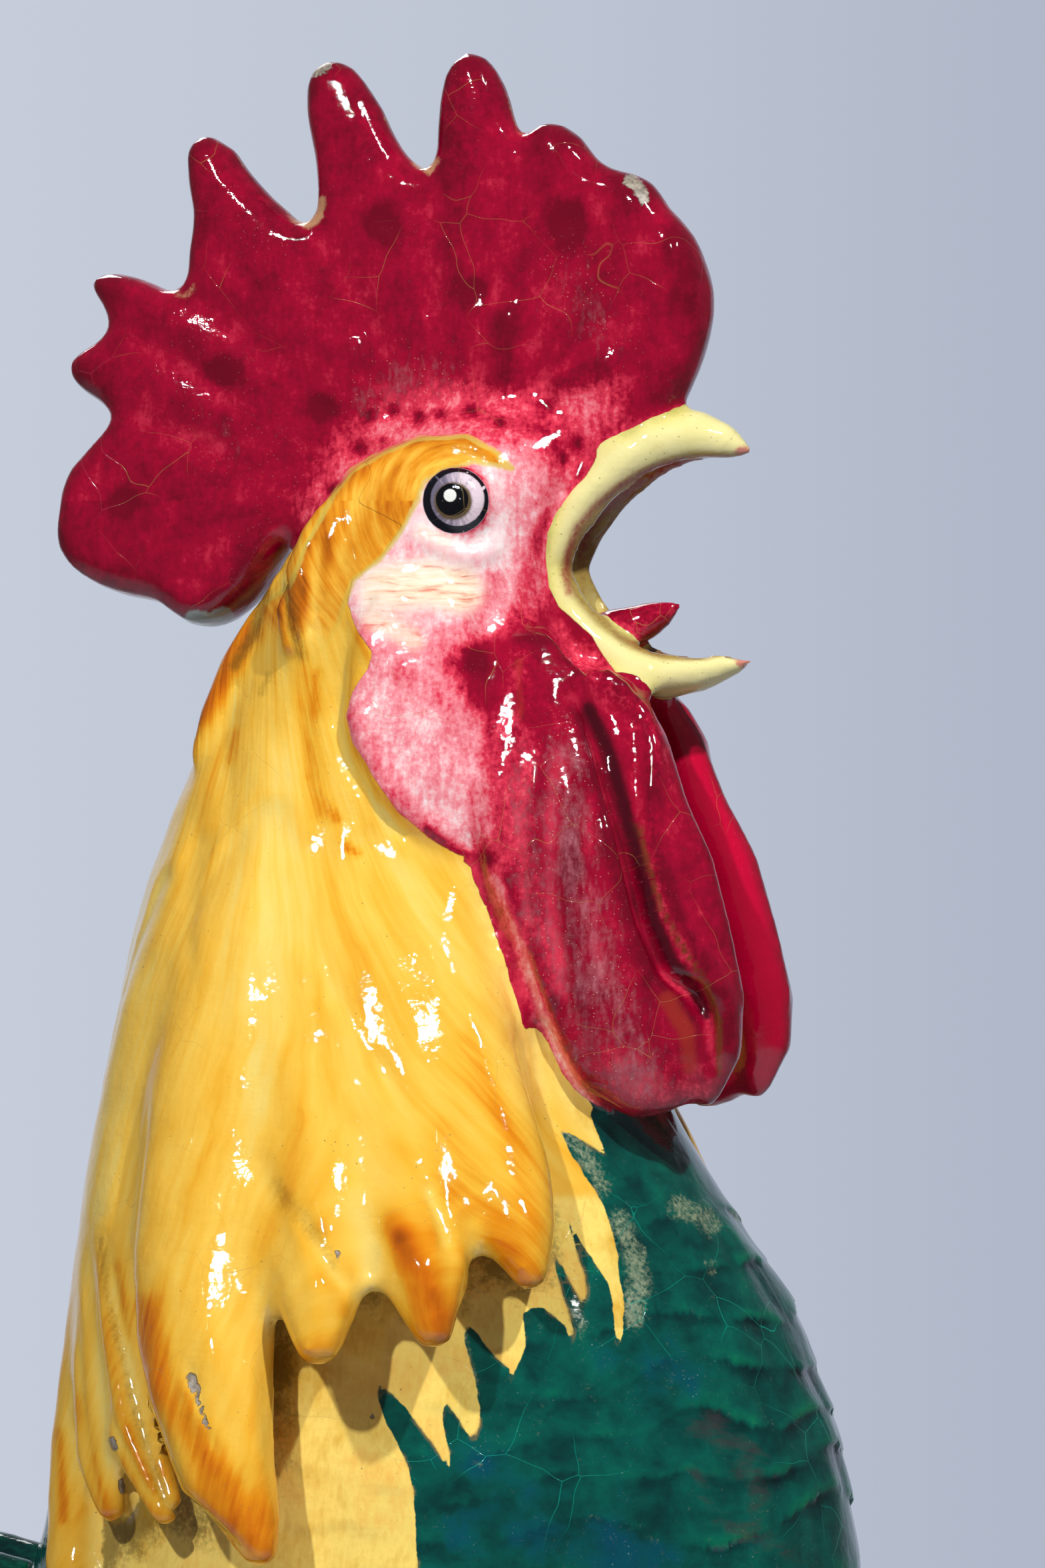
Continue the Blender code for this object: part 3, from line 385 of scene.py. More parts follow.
def zone(places, outline):
    """Signed distance in millimetres to an outline given in pixels, above 0 inside it."""
    outline = np.array(outline, float)
    near = close_to(places, outline, MARGIN)
    signed = np.full(len(places), -float(MARGIN))
    gap, _ = line_distance(places[near], np.vstack([outline, outline[:1]]))
    signed[near] = np.where(inside(places[near], outline), gap, -gap)
    return signed * PIXEL / MM


# Paint zones, in pixels of the photograph

NAPE_TO_BROW = ((397, 889), (451, 836), (473, 791), (505, 735))
LOBE_BACK = (
    (604, 788), (572, 836), (528, 871), (521, 903), (534, 944), (558, 979), (553, 1003), (529, 1036),
    (519, 1074), (529, 1113), (557, 1160), (596, 1218), (643, 1256), (691, 1285), (734, 1290),
)
WATTLE_BACK = ((761, 1366), (792, 1414), (816, 1500), (840, 1562), (868, 1620), (893, 1668))
FACE = (
    ((380, 900), (340, 600), (700, 440), (1200, 480), (1240, 1060), (1240, 1720), (905, 1700))
    + WATTLE_BACK[::-1] + LOBE_BACK[::-1] + NAPE_TO_BROW[::-1]
)
BROW = (
    (769, 703), (744, 678), (701, 655), (626, 657), (576, 679), (560, 688), (527, 706), (505, 735),
    (473, 791), (451, 836), (435, 880), (397, 905), (362, 979), (336, 1030), (384, 1052), (430, 1012),
    (470, 990), (500, 950), (520, 900), (532, 868), (572, 836), (600, 800), (617, 770), (638, 722),
    (683, 700), (709, 692),
)
BEAK_EDGE = (
    (1027, 599), (987, 621), (946, 644), (911, 657), (895, 664), (895, 688), (879, 715), (857, 737),
    (835, 769), (821, 800), (818, 836), (824, 880), (839, 912), (866, 934), (888, 954), (906, 983),
    (924, 1010), (946, 1037), (964, 1059), (980, 1070),
)
BEAK = BEAK_EDGE + ((1080, 1090), (1240, 1040), (1240, 560), (1045, 560))
BEAK_RIM = (
    (1112, 691), (1054, 692), (1013, 693), (973, 706), (929, 729), (893, 760), (866, 791), (853, 827),
    (848, 862), (853, 889),
)
YELLOW_FRONT = (
    (885, 1669), (893, 1690), (908, 1730), (884, 1716), (860, 1703), (841, 1695), (860, 1735),
    (883, 1770), (906, 1808), (917, 1840), (926, 1882), (932, 1924), (936, 1966), (935, 2000),
    (929, 2019), (922, 1992), (920, 1956), (912, 1924), (896, 1900), (878, 1872), (864, 1850),
    (853, 1832), (866, 1882), (878, 1912), (880, 1940), (876, 1960), (862, 1935), (846, 1904),
    (830, 1880), (838, 1920), (850, 1960), (860, 1995), (857, 2014), (846, 1990), (830, 1972),
    (815, 1962), (800, 1961), (786, 1971), (787, 1995), (790, 2020), (782, 2040), (766, 2072),
    (762, 2052), (748, 2040), (728, 2018), (712, 1996), (697, 1986), (697, 2010), (706, 2045),
    (716, 2080), (722, 2110), (718, 2140), (710, 2160), (700, 2150), (690, 2130), (676, 2110),
    (665, 2098), (664, 2125), (668, 2150), (675, 2180), (676, 2208), (664, 2190), (650, 2165),
    (630, 2140), (608, 2112), (590, 2092), (570, 2078), (566, 2090), (572, 2115), (582, 2140),
    (600, 2172), (614, 2205), (621, 2240), (624, 2290), (626, 2352), (622, 2440),
)
YELLOW_BACK = (
    (560, 2560), (500, 2480), (440, 2600), (360, 2500), (300, 2640), (220, 2500), (150, 2560),
    (96, 2400), (84, 2260), (88, 2117), (99, 2025), (111, 1921), (119, 1841), (138, 1772),
    (147, 1715), (151, 1617), (148, 1560), (60, 1540), (60, 1200), (200, 900), (397, 889),
)
YELLOW = YELLOW_FRONT + YELLOW_BACK + NAPE_TO_BROW[1:] + LOBE_BACK + WATTLE_BACK
PALE_FACE = (
    (520, 760), (560, 700), (640, 650), (760, 650), (815, 680), (850, 740), (818, 800), (815, 880),
    (800, 930), (740, 965), (660, 990), (690, 1040), (738, 1110), (750, 1200), (742, 1300), (643, 1270),
    (540, 1180), (500, 1080), (540, 1000), (500, 900),
)
EYE_PLACE = np.array([684.0, 751.0])
BEAK_CORNER = (935, 1045)

# Strokes that the potter's fingers press in: height in millimetres, half width in pixels of the photograph,
# then x and y of each point of the line

RELIEF = {}
RELIEF["hackle"] = (
    (-0.5, 20, 560, 1560, 610, 1680, 650, 1770),
    (-1.2, 14, 640, 1760, 668, 1830, 683, 1878),
    (-0.9, 14, 440, 1800, 462, 1841, 502, 1900, 542, 1944),
    (-0.6, 22, 372, 1700, 410, 1820, 436, 1930, 436, 2030),
    (-1.8, 13, 150, 1860, 163, 1956, 203, 2117, 249, 2249, 307, 2295, 381, 2352),
    (-0.9, 10, 120, 1840, 134, 2020, 156, 2133, 205, 2230, 268, 2298),
    (-0.6, 9, 104, 1960, 112, 2090, 128, 2200, 150, 2290),
    (-0.4, 15, 352, 1050, 338, 1121, 341, 1200, 341, 1282),
    (-0.4, 13, 300, 1200, 281, 1322, 276, 1400, 278, 1470),
    (-0.4, 13, 455, 1040, 456, 1121, 470, 1220, 505, 1300),
    (0.4, 20, 312, 1090, 300, 1180, 250, 1330, 222, 1480),
    (0.5, 26, 396, 1080, 392, 1200, 370, 1400, 352, 1600),
    (-0.7, 10, 742, 1310, 764, 1420, 790, 1520, 808, 1600, 829, 1690),
    (0.6, 40, 500, 1290, 560, 1440, 660, 1600, 730, 1760, 770, 1860),
    (0.5, 36, 390, 1480, 440, 1640, 500, 1760, 580, 1850),
    (-0.35, 14, 460, 1400, 540, 1560, 600, 1640),
    (0.35, 14, 660, 1400, 720, 1560, 770, 1700),
    (0.8, 20, 590, 1830, 630, 1900, 655, 1970),
    (0.7, 20, 690, 1800, 740, 1860, 775, 1900),
    (0.6, 22, 300, 1960, 340, 2080, 392, 2200, 430, 2300),
    (-0.5, 9, 276, 2040, 300, 2130, 330, 2200),
    (0.5, 9, 262, 2060, 286, 2110, 312, 2160),
)
RELIEF["face"] = (
    (0.9, 11, 512, 740, 533, 712, 566, 694, 606, 672, 640, 663, 701, 662, 744, 684),
    (-0.8, 9, 500, 728, 522, 697, 556, 677, 600, 655, 640, 645, 700, 643),
    (0.8, 12, 630, 800, 659, 822, 698, 836, 728, 832, 752, 815),
    (-0.5, 9, 636, 770, 655, 800, 690, 813, 724, 808, 746, 780),
    (-0.5, 9, 640, 715, 660, 692, 690, 684, 722, 692, 744, 720),
    (0.5, 24, 838, 650, 822, 757, 795, 850, 786, 930),
    (-0.7, 13, 380, 930, 400, 860, 436, 800, 470, 740),
    (0.8, 13, 470, 770, 452, 850, 446, 930, 452, 975),
    (-1.0, 7, 420, 850, 430, 930, 446, 982),
    (0.7, 12, 404, 900, 392, 960, 352, 1030),
    (0.6, 11, 500, 790, 492, 850, 490, 900),
    (-0.6, 8, 478, 800, 470, 870, 466, 940),
    (0.8, 17, 540, 880, 534, 925, 552, 965, 565, 1000),
    (0.9, 18, 545, 1030, 536, 1075, 548, 1120, 580, 1180, 625, 1232, 690, 1268),
    (-0.9, 10, 516, 1020, 506, 1080, 520, 1140, 560, 1206, 610, 1262, 680, 1300),
    (-0.6, 16, 770, 950, 768, 1040, 760, 1140, 765, 1240),
)
RELIEF["wattle"] = (
    (-3.4, 11, 862, 1040, 888, 1066, 908, 1120, 926, 1188, 940, 1243, 954, 1300, 969, 1368, 1004, 1455,
        1044, 1492, 1066, 1535, 1072, 1600),
    (1.6, 16, 838, 943, 877, 1000, 927, 1040, 967, 1066, 984, 1113, 982, 1160, 976, 1215, 984, 1276, 1004,
        1343, 1036, 1409, 1072, 1460, 1096, 1510, 1098, 1580),
    (2.4, 15, 868, 988, 900, 1018, 930, 1034, 950, 1046),
    (0.8, 13, 819, 1108, 802, 1200, 798, 1317, 812, 1450, 836, 1540),
    (-0.7, 15, 838, 1090, 824, 1230, 826, 1370, 848, 1480),
    (0.8, 13, 868, 1130, 857, 1240, 850, 1350, 866, 1480, 890, 1580),
    (-0.7, 14, 892, 1170, 884, 1290, 892, 1400, 912, 1500),
    (1.1, 12, 908, 1200, 922, 1290, 944, 1388, 968, 1455, 976, 1500),
    (0.4, 20, 930, 1500, 946, 1560, 958, 1620),
    (-0.5, 20, 985, 1490, 1005, 1560, 1014, 1620),
    (-0.5, 16, 778, 1110, 772, 1230, 782, 1350, 812, 1460),
    (0.7, 12, 748, 1300, 772, 1376, 804, 1440, 830, 1520, 862, 1600, 892, 1655),
    (0.5, 14, 1040, 1180, 1075, 1300, 1100, 1400, 1130, 1470),
)
RELIEF["comb"] = (
    (0.5, 30, 300, 225, 350, 330, 440, 470, 540, 580),
    (0.6, 30, 495, 115, 540, 230, 580, 400, 610, 540),
    (0.6, 28, 705, 100, 700, 230, 690, 380, 680, 540),
    (0.4, 28, 820, 200, 810, 320, 770, 450, 740, 560),
    (0.4, 30, 960, 275, 920, 380, 850, 480, 800, 580),
    (0.4, 30, 1040, 420, 960, 500, 880, 570),
    (0.5, 26, 165, 425, 280, 500, 400, 600),
    (0.4, 26, 130, 540, 250, 590, 380, 660),
    (0.4, 40, 130, 760, 260, 760, 400, 740),
    (-0.6, 24, 285, 440, 360, 500, 440, 570),
    (-0.7, 24, 470, 330, 520, 420, 570, 520),
    (-0.7, 24, 645, 255, 648, 380, 650, 500),
    (-0.5, 24, 788, 210, 770, 340, 730, 470),
    (-0.5, 24, 920, 262, 880, 370, 820, 470),
    (-0.5, 22, 178, 495, 260, 540, 350, 600),
    (-0.6, 22, 185, 625, 270, 650, 360, 690),
    (1.2, 24, 766, 450, 764, 520, 752, 590),
    (0.9, 20, 820, 585, 870, 565, 930, 540),
    (0.9, 18, 1006, 350, 1026, 410, 1030, 460),
    (-0.5, 18, 800, 500, 812, 560, 800, 620),
)
COMB_DENTS = (
    (331, 559, 20), (713, 437, 18), (574, 335, 20), (484, 610, 18), (853, 332, 24), (186, 753, 18),
    (554, 624, 9), (591, 617, 10), (627, 624, 10), (662, 622, 9), (707, 614, 11), (750, 637, 11),
    (793, 664, 10), (538, 670, 11), (498, 733, 10), (845, 690, 9), (870, 665, 9), (820, 612, 12),
)
DENT_DEPTH = 0.55

# Brush strokes of each paint: how much, half width in pixels, then x and y of each point of the line

PAINT = {}
PAINT["crimson"] = (
    (0.56, 30, 480, 770, 520, 680, 600, 618, 700, 604, 800, 622, 900, 600),
    (0.5, 20, 600, 648, 700, 636, 790, 672, 806, 730),
    (0.52, 30, 900, 620, 870, 680, 840, 740),
    (0.72, 13, 850, 668, 880, 690, 866, 716),
    (0.74, 12, 905, 655, 890, 690),
    (0.3, 32, 776, 700, 800, 770, 792, 840),
    (0.7, 14, 826, 770, 808, 812, 806, 850),
    (0.55, 22, 800, 850, 790, 900, 770, 945),
    (0.16, 22, 742, 705, 752, 770, 738, 825),
    (0.04, 14, 630, 796, 659, 819, 698, 833, 728, 829, 748, 816),
    (0.1, 22, 600, 800, 640, 770, 650, 740),
    (0.06, 46, 560, 890, 640, 880, 690, 880),
    (0.4, 18, 740, 870, 720, 930, 660, 975),
    (0.3, 20, 560, 950, 600, 985),
    (0.9, 30, 860, 935, 800, 950, 740, 980),
    (0.97, 20, 712, 985, 745, 1005),
    (0.74, 17, 778, 985, 780, 1060, 778, 1110),
    (0.24, 40, 560, 1060, 580, 1140, 640, 1210),
    (0.38, 24, 700, 1110, 720, 1180, 730, 1250),
    (0.42, 15, 600, 1010, 650, 1030, 690, 1090),
    (0.36, 13, 560, 1120, 600, 1200, 660, 1262),
    (0.6, 18, 752, 1090, 756, 1200, 758, 1290),
    (0.92, 8, 640, 1245, 668, 1268, 700, 1284, 734, 1288),
    (0.36, 11, 741, 1310, 776, 1396, 806, 1490, 838, 1576, 886, 1660),
    (0.68, 12, 838, 943, 877, 1000, 927, 1040, 967, 1062, 990, 1103, 988, 1150),
    (0.7, 10, 974, 1230, 978, 1300, 1000, 1380, 1040, 1440),
    (0.72, 40, 930, 1600, 1000, 1640, 1050, 1640),
    (0.93, 16, 905, 1500, 880, 1400, 870, 1300),
    (0.66, 20, 790, 1120, 790, 1260, 800, 1380, 826, 1480),
    # Crimson thicker than the deepest along the wattle's groove: painted shade in the groove
    (1.15, 14, 880, 1075, 912, 1130, 932, 1200, 946, 1270, 958, 1350, 990, 1440),
    (0.66, 26, 900, 978, 960, 945, 1020, 902),
    # Thinner, lighter crimson over the far wattle: painted light where the near wattle shades it
    (0.68, 26, 1040, 1130, 1080, 1230, 1120, 1340, 1150, 1450, 1150, 1540),
)
PAINT["amber"] = (
    (0.08, 40, 250, 1180, 200, 1450, 150, 1800),
    (0.12, 40, 420, 1150, 400, 1400, 380, 1650),
    (0.34, 60, 560, 1150, 650, 1320, 760, 1500),
    (0.16, 26, 600, 1300, 700, 1480, 760, 1640),
    (0.78, 9, 473, 1010, 471, 1070),
    (0.7, 8, 466, 1165, 485, 1203, 505, 1228),
    (0.75, 7, 524, 1270, 536, 1280),
    (0.5, 16, 455, 980, 462, 1100, 480, 1220),
    (0.7, 20, 372, 950, 340, 1010, 300, 1070),
    (0.55, 10, 352, 1100, 345, 1140),
    (0.5, 26, 660, 1700, 720, 1800, 770, 1870),
    (0.6, 34, 690, 1790, 750, 1870, 790, 1905),
    (0.7, 40, 590, 1850, 626, 1910, 652, 1975),
    (0.2, 22, 530, 1800, 560, 1880, 580, 1930),
    (0.4, 16, 500, 1930, 530, 1990),
    (0.64, 24, 216, 1960, 250, 2090, 318, 2203, 390, 2300),
    (0.6, 36, 330, 2230, 400, 2300, 440, 2345),
    (0.5, 24, 434, 2180, 450, 2290),
    (0.25, 22, 340, 1960, 380, 2080, 410, 2160),
    (0.55, 12, 120, 2100, 140, 2200, 160, 2270),
    (0.5, 9, 176, 1900, 190, 2000),
    (0.6, 8, 90, 2150, 96, 2280),
    (0.45, 20, 700, 1560, 760, 1700, 800, 1840),
)
PAINT["cream"] = (
    (0.9, 42, 575, 880, 640, 875, 690, 885),
    (0.6, 26, 560, 930, 620, 960),
    (0.5, 18, 630, 796, 670, 812),
)
# Olive brown in the deep groove of the wattle and the grooves of the nape: painted shade
PAINT["olive_groove_shade"] = (
    (0.9, 6, 956, 1240, 972, 1300, 994, 1366, 1020, 1416, 1054, 1466, 1078, 1530, 1080, 1610),
    (0.9, 12, 440, 935, 452, 985),
    (0.7, 10, 400, 905, 395, 940, 370, 1000),
)
PAINT["rust"] = (
    (0.7, 20, 1000, 1500, 1030, 1545, 1036, 1600),
    (0.5, 12, 778, 990, 780, 1080),
)
# Near black along the deep groove of the wattle: painted shade
PAINT["gully_shade"] = (
    (1.0, 10, 884, 1062, 912, 1124, 932, 1194, 948, 1250, 962, 1310, 980, 1374, 1008, 1440, 1042, 1484,
        1058, 1520),
)
# Dust, with a painted sheen along the highlights of the comb and the wattle
PAINT["dust_and_sheen"] = (
    (0.55, 44, 560, 600, 610, 560, 660, 575),
    (0.75, 52, 846, 1140, 850, 1260, 884, 1400, 930, 1520, 960, 1620),
    (0.6, 44, 786, 1180, 800, 1330, 840, 1450, 880, 1580),
    (0.4, 50, 860, 430, 920, 500),
    (0.3, 60, 300, 640, 420, 680),
)
PAINT["bare"] = (
    (0.9, 9, 440, 326, 462, 338, 478, 326, 483, 300),
    (0.8, 8, 622, 243, 645, 258, 655, 240),
    (0.6, 8, 255, 436, 280, 445, 292, 430),
    (0.5, 5, 355, 235, 410, 298, 442, 328),
    (0.5, 5, 575, 175, 618, 240),
    (0.5, 5, 760, 140, 776, 198, 790, 205),
)
PAINT["chip"] = (
    (1.0, 13, 474, 104, 486, 98),
    (1.0, 11, 945, 270, 962, 285, 966, 298),
    (1.0, 9, 287, 2066, 292, 2082),
    (0.9, 4, 292, 2082, 300, 2110, 313, 2145),
    (1.0, 6, 168, 2160, 172, 2172),
    (1.0, 6, 182, 2224, 184, 2236),
    (0.9, 5, 506, 1876, 508, 1882),
    (0.8, 4, 556, 2120, 560, 2126),
)
PAINT["worn"] = (
    (0.8, 14, 850, 1700, 880, 1740, 906, 1780),
    (1.0, 17, 930, 1830, 950, 1880, 958, 1930, 950, 1975),
    (0.9, 17, 1020, 1810, 1050, 1822, 1068, 1838),
    (0.5, 9, 1064, 1892, 1070, 1908),
    (0.7, 10, 690, 1990, 700, 2040, 716, 2100),
    (0.6, 9, 860, 1950, 872, 1990),
)
PAINT["drip"] = (
    (1.0, 18, 292, 930, 315, 936, 336, 926),
)
PAINT["blue"] = (
    (0.6, 90, 720, 2260, 860, 2300, 960, 2340),
    (0.5, 60, 960, 1980, 1000, 2080),
)
PAINT["brown"] = (
    (0.7, 34, 1060, 2140, 1120, 2180, 1140, 2230),
    (0.6, 30, 1100, 2290, 1180, 2330),
    (0.4, 24, 1040, 2200, 1060, 2260),
)
PAINT["pale"] = (
    (0.9, 15, 752, 1340, 782, 1440, 812, 1540, 850, 1640),
    (0.9, 10, 862, 1660, 890, 1700, 905, 1728),
    (0.5, 24, 730, 1330, 760, 1500, 800, 1640),
)
PAINT["nape_shade"] = (
    (0.8, 12, 398, 890, 380, 950, 350, 1000),
    (0.6, 14, 430, 880, 440, 940, 452, 985),
    (0.5, 14, 300, 1075, 270, 1160, 230, 1270),
    (0.5, 9, 404, 1012, 392, 1040),
    (0.42, 18, 416, 1776, 462, 1841, 500, 1892),
    (0.5, 11, 150, 1860, 163, 1956, 203, 2117, 249, 2249, 307, 2295),
)
PAINT["tip"] = (
    (0.9, 13, 1112, 678, 1126, 680),
    (0.9, 12, 1112, 992, 1128, 996),
)
STROKE_REACH = 3
STROKE_FADE = 0.18
STROKE_END = 0.25


def marks(places, strokes):
    """For each stroke: its amount, the places near it, how firm it is there, and how far along they are."""
    for amount, width, *line in strokes:
        line = np.reshape(line, (-1, 2)).astype(float)
        near = close_to(places, line, STROKE_REACH * width)
        gap, along = line_distance(places[near], line)
        yield amount, near, np.exp(-(gap / width) ** 2), along


def relief(places, strokes):
    """Height of the pressed strokes at each place, in millimetres; each stroke fades at its ends."""
    height = np.zeros(len(places))
    for rise, near, firm, along in marks(places, strokes):
        fade = smoothstep(0, STROKE_FADE, along) * smoothstep(0, STROKE_FADE, 1 - along)
        height[near] += rise * firm * (STROKE_END + (1 - STROKE_END) * fade)
    return height


def laid(places, base, strokes):
    """A field of paint after each stroke has pulled it towards its own amount."""
    field = np.array(base, float)
    for amount, near, firm, _ in marks(places, strokes):
        field[near] += firm * (amount - field[near])
    return field


def dents(places):
    """For each dimple of the comb, 1 at its middle and 0 away from it."""
    for x, y, reach in COMB_DENTS:
        yield np.exp(-((places - (x, y)) ** 2).sum(axis=1) / reach ** 2)


def lumps(points, size, seed):
    """Smooth random swell, about -1 to 1, with lumps of this size."""
    shift = Vector((seed * 7.3, seed * 3.1, seed * 5.7))
    scaled = points / size
    return np.array([noise.noise(Vector(co) + shift) for co in scaled.tolist()])


def scallops(across, up, width, length):
    """Height of overlapping feathers that point down, from 0 to 1, lowest where one slips under the next."""
    row = up / length
    best = np.zeros(len(row))
    for shift in (0, 1):
        line = np.floor(row) + shift
        side = across / width + 0.5 * (line % 2)
        side = (side - np.round(side)) * 2
        climb = (row - line + 1) / 2 + 0.45 * side ** 2
        best = np.maximum(best, np.where((climb > 0) & (climb < 1), 1 - climb, 0) ** 1.5)
    return best


BREAST_AXIS = 0.045
BREAST_RADIUS = 0.062
SCALE_LENGTH = 0.0092
SCALE_WIDTH = 0.0150
SCALE_DRIFT = 0.0075
DRIFT_SIZE = 0.024


def body_scales(points):
    """Feather scales pressed round the breast and back."""
    turn = np.arctan2(points[:, 1], points[:, 0] - BREAST_AXIS) * BREAST_RADIUS
    drift = SCALE_DRIFT * lumps(points, DRIFT_SIZE, 5)
    rise = SCALE_DRIFT * lumps(points, DRIFT_SIZE, 6)
    return scallops(turn + drift, points[:, 2] + rise, SCALE_WIDTH, SCALE_LENGTH)


WING_START = np.array([0.0915, 0.322])
WING_WAY = np.array([-0.906, -0.424])
WING_DOWN = np.array([0.424, -0.906])
COVERT_WIDTH = 0.0135
COVERT_LENGTH = 0.0120
COVERTS_END = 0.080
COVERTS_FADE = 0.003
QUILL_WIDTH = 0.0088
QUILL_FAN = 0.16


def wing_feathers(points):
    """Height of the wing's feathers from 0 to 1, and how far along the wing each point is."""
    from_start = points[:, (0, 2)] - WING_START
    along = from_start @ WING_WAY
    down = from_start @ WING_DOWN
    coverts = scallops(down, -along, COVERT_WIDTH, COVERT_LENGTH)
    quill = down / QUILL_WIDTH * (1 - QUILL_FAN * (along - COVERTS_END) / COVERTS_END)
    gap = np.abs(quill - np.round(quill))
    quills = smoothstep(0.5, 0.36, gap) * (0.75 + 0.25 * smoothstep(0.12, 0.0, gap))
    share = smoothstep(COVERTS_END - COVERTS_FADE, COVERTS_END + COVERTS_FADE, along)
    return coverts * (1 - share) + quills * share, along


# Materials

COAT = 0.2
COAT_ROUGHNESS = 0.03
EDGE = 0.12

DEEP = (112, 1, 30)
CRIMSON = (158, 3, 44)
ROSE = (220, 56, 82)
PINK = (242, 146, 156)
BLUSH_WHITE = (247, 232, 230)


def srgb(red, green, blue):
    """Scene colour of a paint that shows as these values from 0 to 255."""
    shown = (np.array([red, green, blue]) / 255 + 0.055) / 1.055
    return (*np.maximum(shown, 0.0525) ** 2.4, 1.0)


def feed(slot, value):
    """Links a signal to a socket, or sets the socket to a number, vector or colour."""
    if isinstance(value, Signal):
        value.tree.links.new(value.socket, slot)
    else:
        slot.default_value = value


class Signal:
    """A number, vector or colour that flows through a material, with the arithmetic of one."""

    def __init__(self, tree, socket):
        self.tree = tree
        self.socket = socket

    def math(self, operation, *others):
        node = self.tree.nodes.new("ShaderNodeMath")
        node.operation = operation
        for slot, value in zip(node.inputs, (self,) + others):
            feed(slot, value)
        return Signal(self.tree, node.outputs[0])

    def __add__(self, other):
        return self.math("ADD", other)

    def __sub__(self, other):
        return self.math("SUBTRACT", other)

    def __mul__(self, other):
        return self.math("MULTIPLY", other)

    __radd__ = __add__
    __rmul__ = __mul__

    def __rsub__(self, other):
        return self * -1 + other

    def above(self, low, high):
        """Rises smoothly from 0 at low to 1 at high."""
        node = self.tree.nodes.new("ShaderNodeMapRange")
        node.interpolation_type = "SMOOTHSTEP"
        feed(node.inputs["Value"], self)
        node.inputs["From Min"].default_value = low
        node.inputs["From Max"].default_value = high
        return Signal(self.tree, node.outputs[0])

    def below(self, low, high):
        return 1 - self.above(low, high)

    def near(self, middle, width):
        """1 at the middle, and 0 further than width from it."""
        return (self - middle).math("ABSOLUTE").below(0.4 * width, width)


class Painter:
    """Builds one material or world, layer by layer. Lengths on a glaze are in millimetres."""

    def __init__(self, painted):
        painted.use_nodes = True
        self.painted = painted
        self.tree = painted.node_tree
        self.shader = self.tree.nodes.get("Principled BSDF") or self.tree.nodes["Background"]

    def node(self, kind, **inputs):
        made = self.tree.nodes.new(kind)
        for key, value in inputs.items():
            feed(made.inputs[key], value)
        return made

    def signal(self, node, output=0):
        return Signal(self.tree, node.outputs[output])

    def field(self, name, output="Fac"):
        """A field that the points of the mesh carry."""
        node = self.node("ShaderNodeAttribute")
        node.attribute_name = name
        return self.signal(node, output)

    def vector_math(self, operation, *inputs, output=0):
        node = self.node("ShaderNodeVectorMath")
        node.operation = operation
        for slot, value in zip(node.inputs, inputs):
            feed(slot, value)
        return self.signal(node, output)

    def stretch(self, vector, by):
        return self.vector_math("MULTIPLY", vector, by)

    def far_from(self, vector, place):
        """Distance from a place."""
        return self.vector_math("DISTANCE", vector, place, output="Value")

    def place(self):
        return self.stretch(self.signal(self.node("ShaderNodeTexCoord"), "Object"), (1 / MM,) * 3)

    def joined(self, x, y, z=0.0):
        return self.signal(self.node("ShaderNodeCombineXYZ", X=x, Y=y, Z=z))

    def noise(self, vector, size, detail=3.0, rough=0.5):
        """Random swell around 0, about -0.5 to 0.5, with lumps of this size."""
        node = self.node("ShaderNodeTexNoise", Vector=vector, Scale=1 / size, Detail=detail, Roughness=rough)
        return self.signal(node) - 0.5

    def cells(self, vector, size, feature="F1"):
        """Distance to the middle of the nearest cell, or to the nearest wall between cells."""
        node = self.node("ShaderNodeTexVoronoi", Vector=vector, Scale=1 / size)
        node.feature = feature
        return self.signal(node, "Distance") * size

    def warp(self, vector, size, amount):
        """The vector, pushed about by a noise."""
        node = self.node("ShaderNodeTexNoise", Vector=vector, Scale=1 / size, Detail=2.0)
        return self.vector_math("MULTIPLY_ADD", self.signal(node, "Color"), (amount,) * 3, vector)

    def ramp(self, value, *stops):
        """Colours blended from one stop to the next."""
        node = self.node("ShaderNodeValToRGB", Fac=value)
        elements = node.color_ramp.elements
        while len(elements) < len(stops):
            elements.new(0.5)
        for element, (position, color) in zip(elements, stops):
            element.position = position
            element.color = srgb(*color)
        return self.signal(node)

    def coats(self, base, *coats):
        """The base colour under coats of paint, each with its amount, one over the other."""
        for paint, amount in coats:
            node = self.node("ShaderNodeMix")
            node.data_type = "RGBA"
            feed(node.inputs["Factor"], amount)
            for slot, color in ((6, base), (7, paint)):
                feed(node.inputs[slot], srgb(*color) if isinstance(color, tuple) else color)
            base = self.signal(node, 2)
        return base

    def crackle(self, place, cell, width):
        """Fine crazing that comes and goes, 1 on a line."""
        bent = self.warp(place, cell * 1.3, cell * 0.55)
        line = self.cells(bent, cell, "DISTANCE_TO_EDGE").below(0.3 * width, width)
        return line * self.noise(place, cell * 1.5, 1.0).above(-0.02, 0.14)

    def specks(self, place, size, amount):
        """Scattered round specks of up to this size, each of this amount."""
        return self.cells(place, size * 3).below(size * 0.18, size * 0.42) * amount

    def finish(self, color, height, roughness):
        """Glossy glaze of this colour, with bumps of this height in millimetres."""
        bump = self.node("ShaderNodeBump", Distance=MM, Height=height)
        feed(self.shader.inputs["Base Color"], color)
        feed(self.shader.inputs["Roughness"], roughness)
        feed(self.shader.inputs["Normal"], self.signal(bump))
        self.shader.inputs["Coat Weight"].default_value = COAT
        self.shader.inputs["Coat Roughness"].default_value = COAT_ROUGHNESS
        return self.painted


